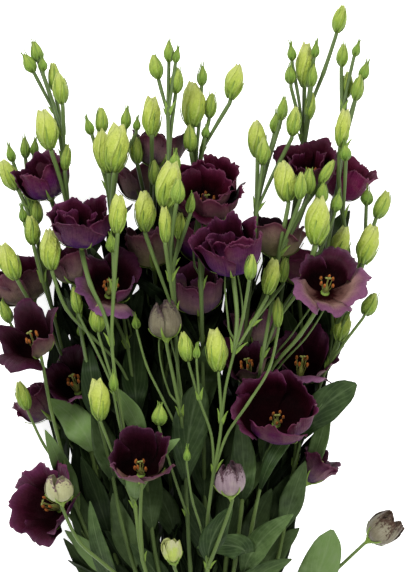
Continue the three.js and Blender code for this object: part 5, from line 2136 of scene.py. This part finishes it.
@dataclass(frozen=True)
class PetalFinish(Finish):
    """Velvety petals: nearly black in the throat, partly their own dark base and partly painted shade deep
    in the cup, aubergine inside, and mauve to violet outside.

    Each face has a dark or ruby set of colours and a pale one, and outside there is a dusky olive one too.
    """

    # The near-black foot of each inner ramp is partly the petals' own dark base and partly painted shade
    # deep in the cup.
    inside: Stops = (
        (0.0, (0.010, 0.002, 0.003)), (0.3, (0.0060, 0.0010, 0.0016)), (0.55, (0.015, 0.0016, 0.0042)),
        (0.8, (0.037, 0.0036, 0.013)), (0.97, (0.060, 0.008, 0.034)), (1.0, (0.10, 0.020, 0.058)),
    )
    inside_ruby: Stops = (
        (0.0, (0.010, 0.002, 0.003)), (0.3, (0.010, 0.0010, 0.002)), (0.55, (0.042, 0.0022, 0.008)),
        (0.8, (0.078, 0.0060, 0.022)), (0.97, (0.105, 0.012, 0.042)), (1.0, (0.14, 0.030, 0.070)),
    )
    inside_pale: Stops = (
        (0.0, (0.010, 0.002, 0.003)), (0.14, (0.016, 0.003, 0.004)), (0.28, (0.110, 0.055, 0.052)),
        (0.60, (0.250, 0.155, 0.150)), (0.88, (0.140, 0.052, 0.120)), (1.0, (0.15, 0.06, 0.14)),
    )
    outside_dark: Stops = (
        (0.0, (0.060, 0.030, 0.085)), (0.28, (0.036, 0.007, 0.068)), (0.6, (0.044, 0.005, 0.034)),
        (0.92, (0.050, 0.003, 0.018)), (1.0, (0.085, 0.014, 0.042)),
    )
    outside_ruby: Stops = (
        (0.0, (0.14, 0.050, 0.110)), (0.3, (0.125, 0.014, 0.065)), (0.7, (0.125, 0.008, 0.050)),
        (0.95, (0.130, 0.010, 0.054)), (1.0, (0.16, 0.04, 0.08)),
    )
    outside_pale: Stops = (
        (0.0, (0.15, 0.14, 0.10)), (0.25, (0.080, 0.025, 0.130)), (0.5, (0.150, 0.075, 0.105)),
        (0.75, (0.110, 0.035, 0.075)), (0.92, (0.075, 0.010, 0.038)), (1.0, (0.14, 0.05, 0.085)),
    )
    outside_dusk: Stops = (
        (0.0, (0.22, 0.23, 0.080)), (0.35, (0.155, 0.130, 0.065)), (0.7, (0.115, 0.070, 0.055)),
        (0.93, (0.070, 0.018, 0.028)), (1.0, (0.13, 0.05, 0.06)),
    )

    def paint(self, g: Graph, place: list[Wire], tone: list[Wire]) -> None:
        """Veins are noise stretched along the petal, which shifts each colour band and raises fine ribs.

        The petal's fade, which also holds painted light on the near petals and painted shade on the far
        ones, chooses among ruby, dark and pale, and its dusk turns the outer face olive and the pale inner
        one brown.

        Args:
            g: Takes the nodes.
            place: Across, along, and 1 on an inner face.
            tone: Luck, fade and dusk.
        """
        across, along, inner = place
        luck, fade, dusk = tone
        veins = g.noise(2.2, 4.0, 0.62, at=g.vector(across * 9.0, along * 1.1, luck * 37.0))
        cloud = g.noise(75.0, 3.0)
        shift = (veins - 0.5) * 0.34 + (cloud - 0.5) * 0.36
        band = (along + shift * (1.25 - along)).held()
        inside = g.blend((fade * -1.5).held(), g.ramp(band, self.inside), g.ramp(band, self.inside_ruby))
        inside = g.scaled(inside, 1.0 - dusk * 0.65)
        brown = [1.0 - dusk * loss for loss in (0.25, 0.4, 0.6)]
        pale = g.scaled(g.ramp(band, self.inside_pale), *brown)
        inside = g.blend(((fade + (luck - 0.5) * 0.5 - 0.72) * 4.0).held(), inside, pale)
        outside = g.ramp(band, self.outside_dark)
        outside = g.blend((fade * -1.0).held(), outside, g.ramp(band, self.outside_ruby))
        outside = g.blend((fade + (veins - 0.5) * 1.1).held(), outside, g.ramp(band, self.outside_pale))
        outside = g.blend((dusk + (cloud - 0.5) * 1.1).held(), outside, g.ramp(band, self.outside_dusk))
        pucker, pile = g.noise(260.0), g.noise(900.0)
        light = luck * 0.4 + (cloud * 0.7 - 0.1) + (pucker * 0.5 + pile * 0.6)
        colour = g.scaled(g.blend(inner, outside, inside), light)
        g.bump(veins + pucker * 0.8, 0.7, 0.0011)
        # Painted shade takes up to 0.45 of the petal's colour in deep places.
        g.finish(colour, veins * 0.2 + 0.42, band * band * 0.14, 0.45)


@dataclass(frozen=True)
class PaleFinish(Finish):
    """Petals of a half-open bloom: a base, a body and a tip, light patches, and dark speckles at the rim."""

    base: Colour
    body: Colour
    tip: Colour
    speckle: Colour
    amount: float
    light: Colour

    def paint(self, g: Graph, place: list[Wire], tone: list[Wire]) -> None:
        """Veins along the petal are dark where their noise is high and light where it is low.

        Speckles show where a fine noise is high near the rim.

        Args:
            g: Takes the nodes.
            place: Across, along, and 1 on an inner face.
            tone: Luck, and two numbers that aren't used.
        """
        across, along, inner = place
        veins = g.noise(2.4, 3.0, at=g.vector(across * 8.0, along, tone[0] * 31.0))
        band = (along + (g.noise(110.0, 3.0) - 0.5) * 0.5).held()
        colour = g.ramp(band, ((0.02, self.base), (0.34, self.body), (0.74, self.body), (0.98, self.tip)))
        colour = g.blend(((g.noise(60.0) - 0.48) * 6.0).held() * 0.45, colour, self.light)
        spots = ((g.noise(420.0) + along * along * self.amount - 0.86) * 9.0).held()
        colour = g.blend(spots, colour, self.speckle)
        colour = g.blend(((veins - 0.53) * 3.2).held() * 0.8, colour, self.tip)
        colour = g.blend(((0.46 - veins) * 3.2).held() * 0.6, colour, self.light)
        colour = g.blend(inner * 0.6, colour, self.tip)
        g.bump(veins + g.noise(260.0), 0.8, 0.0013)
        g.finish(colour, 0.5, 0.25, 0.5, sheen=0.05)


@dataclass(frozen=True)
class BudFinish(Finish):
    """Closed buds: green at the base and lime above, with pale streaks along each wound petal's edge."""

    young: Stops = ((0.0, (0.045, 0.100, 0.015)), (0.4, (0.13, 0.235, 0.027)), (1.0, (0.26, 0.34, 0.060)))
    ripe: Stops = (
        (0.0, (0.050, 0.110, 0.014)), (0.2, (0.18, 0.27, 0.026)), (0.5, (0.32, 0.39, 0.052)),
        (0.8, (0.38, 0.43, 0.080)), (1.0, (0.42, 0.45, 0.14)),
    )
    streak: Colour = (0.52, 0.55, 0.22)
    # A dark green for the veins, and for painted shade under the wound edges and in the dents.
    vein_and_shade: Colour = (0.17, 0.24, 0.025)

    def paint(self, g: Graph, place: list[Wire], tone: list[Wire]) -> None:
        """Across is the place between one wound edge and the next.

        A step on it draws painted shade under an edge, where the neighbouring petal's raised edge overhangs,
        and the pale line on it.

        Args:
            g: Takes the nodes.
            place: Across, along, and 1 on an inner face.
            tone: Luck and ripeness.
        """
        across, along, _ = place
        luck, ripe, _ = tone
        veins = g.noise(2.4, 4.0, 0.65, at=g.vector(across * 1.7, along * 1.6, luck * 53.0))
        band = (along + (g.noise(120.0) - 0.5) * 0.4).held()
        colour = g.blend(ripe, g.ramp(band, self.young), g.ramp(band, self.ripe))
        colour = g.blend(((across - 0.55) * 2.2).held() * (ripe * 0.35), colour, self.streak)
        colour = g.blend(((veins - 0.52) * 4.0).held() * 0.34, colour, self.vein_and_shade)
        colour = g.blend(((0.46 - veins) * 4.0).held() * 0.55 * ripe, colour, self.streak)
        # Painted shade under each wound edge.
        under = ((-0.72 - across) * 3.6).held()
        colour = g.blend(under * 0.35, colour, self.vein_and_shade)
        pucker = g.noise(330.0)
        # Painted shade: the low places of the pucker are darker.
        colour = g.blend(((0.47 - pucker) * 5.0).held() * 0.3, colour, self.vein_and_shade)
        g.bump(pucker * 1.4 + under * -0.3 + veins * 0.7, 0.8, 0.0016)
        g.finish(colour, 0.48, 0.18, 0.6)


@dataclass(frozen=True)
class GreenFinish(Finish):
    """A green skin: sepals, bracts, the cups under blooms and the stems."""

    low: Colour
    high: Colour
    keel: Colour
    roughness: float
    # Dim is how strongly painted shade darkens the deep places.
    dim: float

    def paint(self, g: Graph, place: list[Wire], tone: list[Wire]) -> None:
        """Mottled, from low to high as it is riper, with fine paler lines lengthways.

        Args:
            g: Takes the nodes.
            place: Across, along, and 1 on an inner face.
            tone: Luck and ripeness.
        """
        across, along, _ = place
        luck, ripe, _ = tone
        lines = g.noise(3.0, 3.0, at=g.vector(across * 5.0, along * 2.0, luck))
        share = (ripe * 0.45 + luck * 0.3 + (g.noise(45.0, 3.0) - 0.4) * 0.8).held()
        colour = g.blend(lines * 0.4, g.blend(share, self.low, self.high), self.keel)
        g.bump(lines + g.noise(1560.0) * 0.3, 0.35, 0.0005)
        g.finish(colour, self.roughness, 0.18, self.dim)


@dataclass(frozen=True)
class LeafFinish(Finish):
    """Matte blue-green leaves with a bloom of wax, a pale midrib and faint long veins."""

    # Deep is painted shade for leaves deep in the bunch; dark and lit are partly the leaf's own tones and
    # partly painted shade and light.
    deep: Colour = (0.005, 0.010, 0.003)
    dark: Colour = (0.014, 0.032, 0.006)
    body: Colour = (0.041, 0.074, 0.019)
    lit: Colour = (0.100, 0.164, 0.048)
    rib: Colour = (0.16, 0.22, 0.10)
    under: Colour = (0.075, 0.125, 0.040)
    wax: Colour = (0.145, 0.185, 0.105)

    def paint(self, g: Graph, place: list[Wire], tone: list[Wire]) -> None:
        """Luck runs from dark over body to lit, partly as the leaf's own tone and partly as painted light
        and shade, with painted light a little stronger towards the tip and on one side, and over 1 it is
        painted sunlight.

        Veins are a cosine of across less along, so that they leave the midrib slanting, and the midrib is
        where across is near nothing. Depth darkens all of it as painted shade.

        Args:
            g: Takes the nodes.
            place: Across, along, and 1 on an inner face.
            tone: Luck, and depth as the third.
        """
        across, along, inner = place
        luck, _, depth = tone
        off = g.math("ABSOLUTE", across)
        cloud, patch = g.noise(38.0, 4.0), g.noise(130.0, 3.0)
        share = luck + (cloud - 0.5) * 1.0 + (patch - 0.5) * 0.7
        # Painted light: lighter towards the tip and on one side of the midrib.
        share = (share + ((along - 0.5) * 0.42 + across * 0.12)).held()
        colour = g.ramp(share, ((0.0, self.dark), (0.4, self.body), (1.0, self.lit)))
        # Painted shade: depth blends the leaf towards the near-black deep colour.
        colour = g.blend((depth * 0.9).held(), colour, self.deep)
        veins = g.math("COSINE", off * 11.0 - along * 15.0 + cloud * 3.0)
        veins = g.math("POWER", g.math("ABSOLUTE", veins), 14.0)
        middle = (1.0 - off * 9.0).held()
        bloom = (((patch - 0.42) * 2.2).held() * luck).held()
        # Painted shade also fades the veins, wax, midrib and underside.
        out_of_painted_shade = 1.0 - depth * 0.8
        for amount, mark in (
            (veins * 0.12, self.rib), (bloom * 0.38, self.wax), (middle * 0.3, self.rib),
            (inner * 0.35, self.under),
        ):
            colour = g.blend(amount * out_of_painted_shade, colour, mark)
        # Painted sunlight: a tone over 1 brightens the whole leaf.
        colour = g.scaled(colour, (luck - 1.0).held() * 0.8 + 1.0)
        g.bump(g.noise(900.0) * 0.15 - (veins * 0.25 + middle), 0.45, 0.0006)
        # Painted shade: the deeper the leaf, the more its deep places are darkened.
        g.finish(colour, cloud * 0.15 + 0.48, 0.14, (depth * 0.9 + 0.3).held())


@dataclass(frozen=True)
class GrainFinish(Finish):
    """A small grainy thing of one colour and a darker one: anthers and the pistil."""

    body: Colour
    dark: Colour
    roughness: float = 0.75

    def paint(self, g: Graph, place: list[Wire], tone: list[Wire]) -> None:
        """Two colours by a fine noise, raised by the same noise.

        Args:
            g: Takes the nodes.
            place: Not used.
            tone: Not used.
        """
        grain = g.noise(1400.0, 3.0)
        g.bump(grain, 0.7, 0.0005)
        colour = g.blend(((grain - 0.3) * 2.2).held(), self.dark, self.body)
        g.finish(colour, self.roughness, 0.3, sheen=0.1)


@dataclass(frozen=True)
class TwineFinish(Finish):
    """Undyed plant fibre: straw-coloured strands with darker ones among them."""

    straw: Colour = (0.50, 0.38, 0.21)
    shade: Colour = (0.24, 0.16, 0.08)

    def paint(self, g: Graph, place: list[Wire], tone: list[Wire]) -> None:
        """Fibres are noise stretched round the twist.

        Args:
            g: Takes the nodes.
            place: Across, along, and 1 on an inner face.
            tone: Not used.
        """
        across, along, _ = place
        fibres = g.noise(1.0, 3.0, 0.7, at=g.vector(across * 6.0 + along * 900.0, along * 60.0, 0.0))
        g.bump(fibres, 0.8, 0.0006)
        g.finish(g.blend(fibres * 0.8, self.straw, self.shade), 0.85, 0.2, sheen=0.2)


@dataclass
class Studio:
    """The floor, the soft lights and the camera that looks straight down.

    Lamps are (name, place in metres, size in metres, power in watts).
    """

    photo_width: float = 410.0
    photo_height: float = 572.0
    distance: float = 8.0
    sensor: float = 36.0
    aim: tuple[float, float, float] = (0.0, 0.1, 0.1)
    lamps: tuple[tuple[str, Sequence[float], float, float], ...] = (
        ("key", (-1.3, 1.4, 2.2), 1.3, 78.0), ("fill", (1.7, 0.3, 2.0), 1.5, 42.0),
        ("foot", (0.1, -1.9, 1.9), 1.6, 24.0),
    )
    sky: float = 0.3
    reach: float = 4.0
    floor_level: float = -0.0004
    glow: float = 0.8

    def floor(self) -> None:
        """Adds a wide pale floor just under the bunch, which glows a little."""
        corners = [(x * self.reach, y * self.reach, self.floor_level) for x, y in SQUARE]
        mesh = bpy.data.meshes.new("floor")
        mesh.from_pydata(corners, [], [(0, 1, 2, 3)])
        floor = linked("floor", mesh)
        g = Graph("pale floor")
        g.put(g.shader.inputs["Emission Color"], (1, 1, 1, 1))
        g.put(g.shader.inputs["Emission Strength"], self.glow)
        g.finish((0.93, 0.93, 0.93, 1), 0.9, 0.1)
        mesh.materials.append(g.material)

    def lights(self) -> None:
        """Adds the lamps, square and soft, that face the bunch, and a pale sky."""
        for name, place, size, power in self.lamps:
            lamp = bpy.data.lights.new(name, "AREA")
            lamp.size, lamp.energy = size, power
            made = linked(name, lamp)
            way = np.array(self.aim) - place
            made.location = place
            tilt = math.atan2(math.hypot(way[0], way[1]), -way[2])
            made.rotation_euler = (tilt, 0.0, math.atan2(way[1], way[0]) - math.pi / 2)
        world = bpy.data.worlds.new("pale room")
        world.use_nodes = True
        sky = world.node_tree.nodes["Background"]
        sky.inputs[0].default_value = (1, 1, 1, 1)
        sky.inputs[1].default_value = self.sky
        bpy.context.scene.world = world

    def camera(self, shift: Array) -> None:
        """Adds the camera: far above, so that the picture is close to a plan of the bunch.

        Args:
            shift: From plan coordinates to the row frame, in millimetres.
        """
        middle = np.array([*to_plan((self.photo_width / 2, self.photo_height / 2)), 100.0]) + shift
        lens = bpy.data.cameras.new("camera")
        lens.sensor_width = self.sensor
        lens.lens = self.sensor * self.distance / (self.photo_height * MM)
        lens.clip_start, lens.clip_end = 0.1, 40.0
        made = linked("camera", lens)
        made.location = middle * MM + np.array([0, 0, self.distance])
        bpy.context.scene.camera = made




@dataclass(frozen=True)
class Look:
    """What sets one bloom apart.

    Fade runs from -1, where the petals are ruby, over 0, where they are aubergine, to 1 and beyond, where
    they are pale. Dusk is how much their violet turns to olive. Turn is a further tilt of the mouth to the
    sky in degrees, slim and span are shares of the cup's belly and of its width, inner is how many smaller
    petals there are, split deepens the notches between petals, heart is the pistil's height as a share of
    the cup's, fold is how far the near petals fold down, spin turns all petals by so many degrees, and
    mouth and waist are shares of the cup's own.
    """

    fade: float = 0.3
    dusk: float = 0.4
    turn: float = 0.0
    slim: float = 1.0
    span: float = 1.0
    inner: int | None = None
    split: float = 1.0
    heart: float | None = None
    fold: float = 0.0
    spin: float = 0.0
    mouth: float = 1.0
    waist: float = 1.0

    def dress(self, head: Head) -> Head:
        """The bloom with its own tilt, width and cup.

        Args:
            head: The bloom as planned.

        Returns:
            The dressed bloom.
        """
        level = math.hypot(head.way[0], head.way[1])
        tilt = math.atan2(head.way[2], level) + math.radians(self.turn)
        way = np.array([*(head.way[:2] / level * math.cos(tilt)), math.sin(tilt)])
        cup, slim = head.cup, self.slim
        inner = cup.inner if self.inner is None else self.inner
        waist, lobe = cup.waist * self.waist * (1 + slim) / 2, cup.lobe * self.split
        cup = replace(cup, mouth=cup.mouth * self.mouth, belly=cup.belly * slim, waist=waist)
        cup = replace(cup, inner=inner, lobe=lobe, fold=self.fold, spin=self.spin)
        return replace(head, way=way, width=head.width * self.span, cup=cup)


LOOKS = {
    1: Look(-0.1, 0.1, 4, 0.95), 2: Look(-0.1, 0.5, 4), 3: Look(mouth=1.3, slim=0.96),
    4: Look(-0.2, 0.6, 0, span=1.06), 5: Look(0.8, 0.5, fold=0.7), 6: Look(-0.1, 0.3),
    7: Look(0.3, 0.7, split=1.4, fold=0.8), 8: Look(0.0, 0.1, -4, 1.0, 1.03, split=0.6, fold=0.6),
    9: Look(1.4, 0.05, split=1.2, fold=0.8, spin=58), 10: Look(0.22, 0.0, 2, 0.9),
    11: Look(1.0, 0.65, 4, 0.85, 1.04, 0, 1.6, 0.4, 0.9, 4), 12: Look(0.55, 0.5), 13: Look(0.6, 0.6),
    14: Look(1.4, 0.9), 15: Look(-0.1, 0.1, 12), 16: Look(mouth=0.7, waist=0.62, slim=0.96),
    17: Look(mouth=1.5, waist=0.92, slim=0.9, span=0.95), 18: Look(-0.55, 0.5, 10, 0.92, inner=5),
    19: Look(0.7, 0.3, 16, span=0.92), 20: Look(0.5, 0.95, 0, span=1.06), 21: Look(1.4, 0.4, fold=0.5),
    22: Look(1.0, 0.8, fold=0.5), 23: Look(-0.35, 0.3, 4, 0.9), 24: Look(-1.0, 0.0, 20, 0.88),
    25: Look(-0.8, 0.3, 8), 26: Look(1.2, 0.5, split=1.1, fold=0.7),
    27: Look(0.9, 0.4, span=1.08, fold=0.7), 28: Look(0.7, 0.2, 0, 1.0, 0.9, split=0.5, spin=36),
    29: Look(0.15, 0.0, 3, 0.82, 1.02, 5),
    30: Look(mouth=1.1), 31: Look(mouth=1.6, waist=1.02, slim=0.88),
    32: Look(-0.1, 0.15, 6, 1.0, 1.0, 0, 1.0, 0.3),
}
# The half-open blooms' own petals, by the bloom's number: slot, name and finish
HALF_OPEN_PETALS = {
    3: ("petal_pale", "cream petal", PaleFinish(
        (0.26, 0.30, 0.10), (0.34, 0.34, 0.17), (0.36, 0.33, 0.19), (0.09, 0.03, 0.05), 0.5,
        (0.46, 0.45, 0.28),
    )),
    16: ("petal_pale", "olive petal", PaleFinish(
        (0.075, 0.095, 0.03), (0.105, 0.088, 0.052), (0.050, 0.026, 0.024), (0.03, 0.012, 0.015), 0.56,
        (0.19, 0.175, 0.105),
    )),
    17: ("petal_lime", "lime petal", PaleFinish(
        (0.20, 0.30, 0.04), (0.36, 0.44, 0.08), (0.42, 0.46, 0.14), (0.16, 0.2, 0.04), 0.1,
        (0.42, 0.36, 0.34),
    )),
    30: ("petal_pale", "mauve petal", PaleFinish(
        (0.32, 0.30, 0.17), (0.22, 0.155, 0.18), (0.050, 0.018, 0.028), (0.04, 0.01, 0.02), 0.65,
        (0.36, 0.31, 0.28),
    )),
    31: ("petal_pale", "faded petal", PaleFinish(
        (0.24, 0.18, 0.20), (0.175, 0.155, 0.10), (0.075, 0.04, 0.025), (0.045, 0.02, 0.01), 0.62,
        (0.30, 0.28, 0.20),
    )),
}
STEM_SKIN = GreenFinish((0.046, 0.078, 0.020), (0.118, 0.178, 0.044), (0.145, 0.205, 0.062), 0.42, 0.85)
SEPAL_SKIN = GreenFinish((0.08, 0.155, 0.020), (0.19, 0.28, 0.040), (0.24, 0.33, 0.07), 0.5, 0.7)
ANTHER = GrainFinish((0.44, 0.14, 0.012), (0.15, 0.035, 0.006))
PISTIL = GrainFinish((0.24, 0.24, 0.05), (0.11, 0.13, 0.025), 0.5)


@dataclass
class Piece:
    """A piece before its mesh is made: its surfaces, its names, its slot and its finishes."""

    bag: Bag
    name: str
    node: str
    slot: str
    finishes: Sequence[bpy.types.Material]

    def make(self, shift: Array, canopy: Canopy) -> None:
        """Makes the mesh, ties it to the frame in place of its node, and reports it.

        Args:
            shift: From plan coordinates to the row frame, in millimetres.
            canopy: Tells how much painted shade each point gets.
        """
        piece, node, slot = self.bag.piece(self.name, self.finishes, shift, canopy), self.node, self.slot
        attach(piece, "root")
        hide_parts(node)
        log.info("%s stands for %s: %d faces", piece.name, node, len(piece.data.polygons))


class Bunch:
    """The whole bunch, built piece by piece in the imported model's frame."""

    def __init__(self) -> None:
        """Grows the plan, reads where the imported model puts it, and makes the finishes."""
        self.growth = Growth()
        low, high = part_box("tie")
        middle = (np.array(low) + np.array(high)) / 2 / MM
        self.shift = middle - np.array([0, LENGTH - TIE_DOWN, TIE_HEIGHT])
        self.stem, self.bud, self.bloom = StemForm(), BudForm(), BloomForm()
        self.undergrowth = Undergrowth(self.growth, self.stem)
        self.petal = PetalFinish().make("aubergine petal")
        self.heart = [ANTHER.make("amber anther"), PISTIL.make("green pistil")]
        self.greens = [
            STEM_SKIN.make("stem skin"), LeafFinish().make("waxy leaf"), BudFinish().make("lime bud"),
            SEPAL_SKIN.make("sepal"),
        ]

    def stem_piece(self, number: int) -> Piece:
        """Builds a stem with its stalks, buds, sepals, bracts and leaves.

        Args:
            number: The stem's number.

        Returns:
            The piece.
        """
        bag = Bag()
        for strand in (s for s in self.growth.strands if s.stem == number):
            self.stem.tube(bag, strand)
            self.stem.bracts(bag, strand)
            if strand.head.kind is Kind.BUD:
                self.bud.build(bag, strand.head)
                self.bud.calyx(bag, strand.head)
            else:
                self.bloom.calyx(bag, LOOKS[strand.head.number].dress(strand.head))
        for leaf in (item for item in self.growth.leaves if item.stem == number):
            self.stem.planned_leaf(bag, leaf)
        self.undergrowth.build(bag, number)
        return Piece(bag, f"green_{number:02d}", f"stem_{number:02d}", "stem_green", self.greens)

    def bloom_piece(self, head: Head) -> Piece:
        """Builds a bloom: its petals, and in an open one its pistil and its stamens.

        Args:
            head: The bloom.

        Returns:
            The piece.
        """
        bag, look, petal, slot = Bag(), LOOKS[head.number], self.petal, "petal_purple"
        dressed = look.dress(head)
        self.bloom.build(bag, dressed, look.fade, look.dusk)
        if head.cup is HALF_OPEN:
            slot, name, finish = HALF_OPEN_PETALS[head.number]
            petal = finish.make(name)
        else:
            self.bloom.heart(bag, dressed, look.heart)
        name, node = f"corolla_{head.number:02d}", f"bloom_{head.number:02d}"
        return Piece(bag, name, node, slot, [petal, *self.heart])

    def build(self) -> None:
        """Builds every piece in order, and makes their meshes once all the surfaces are there."""
        pieces = [self.stem_piece(number) for number in range(1, len(STEMS) + 1)]
        pieces += [self.bloom_piece(head) for head in self.growth.heads if head.kind is Kind.BLOOM]
        bag = Bag()
        TieForm().build(bag)
        pieces.append(Piece(bag, "twine", "tie", "tie_twine", [TwineFinish().make("straw twine")]))
        canopy = Canopy([piece.bag for piece in pieces])
        for piece in pieces:
            piece.make(self.shift, canopy)


def main() -> None:
    """Loads the frame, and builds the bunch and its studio."""
    logging.basicConfig(level=logging.INFO, format="%(message)s")
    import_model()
    bunch = Bunch()
    bunch.build()
    studio = Studio()
    studio.floor()
    studio.lights()
    studio.camera(bunch.shift)
    bpy.context.scene.view_settings.view_transform = "Standard"
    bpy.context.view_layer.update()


if __name__ == "__main__":
    main()
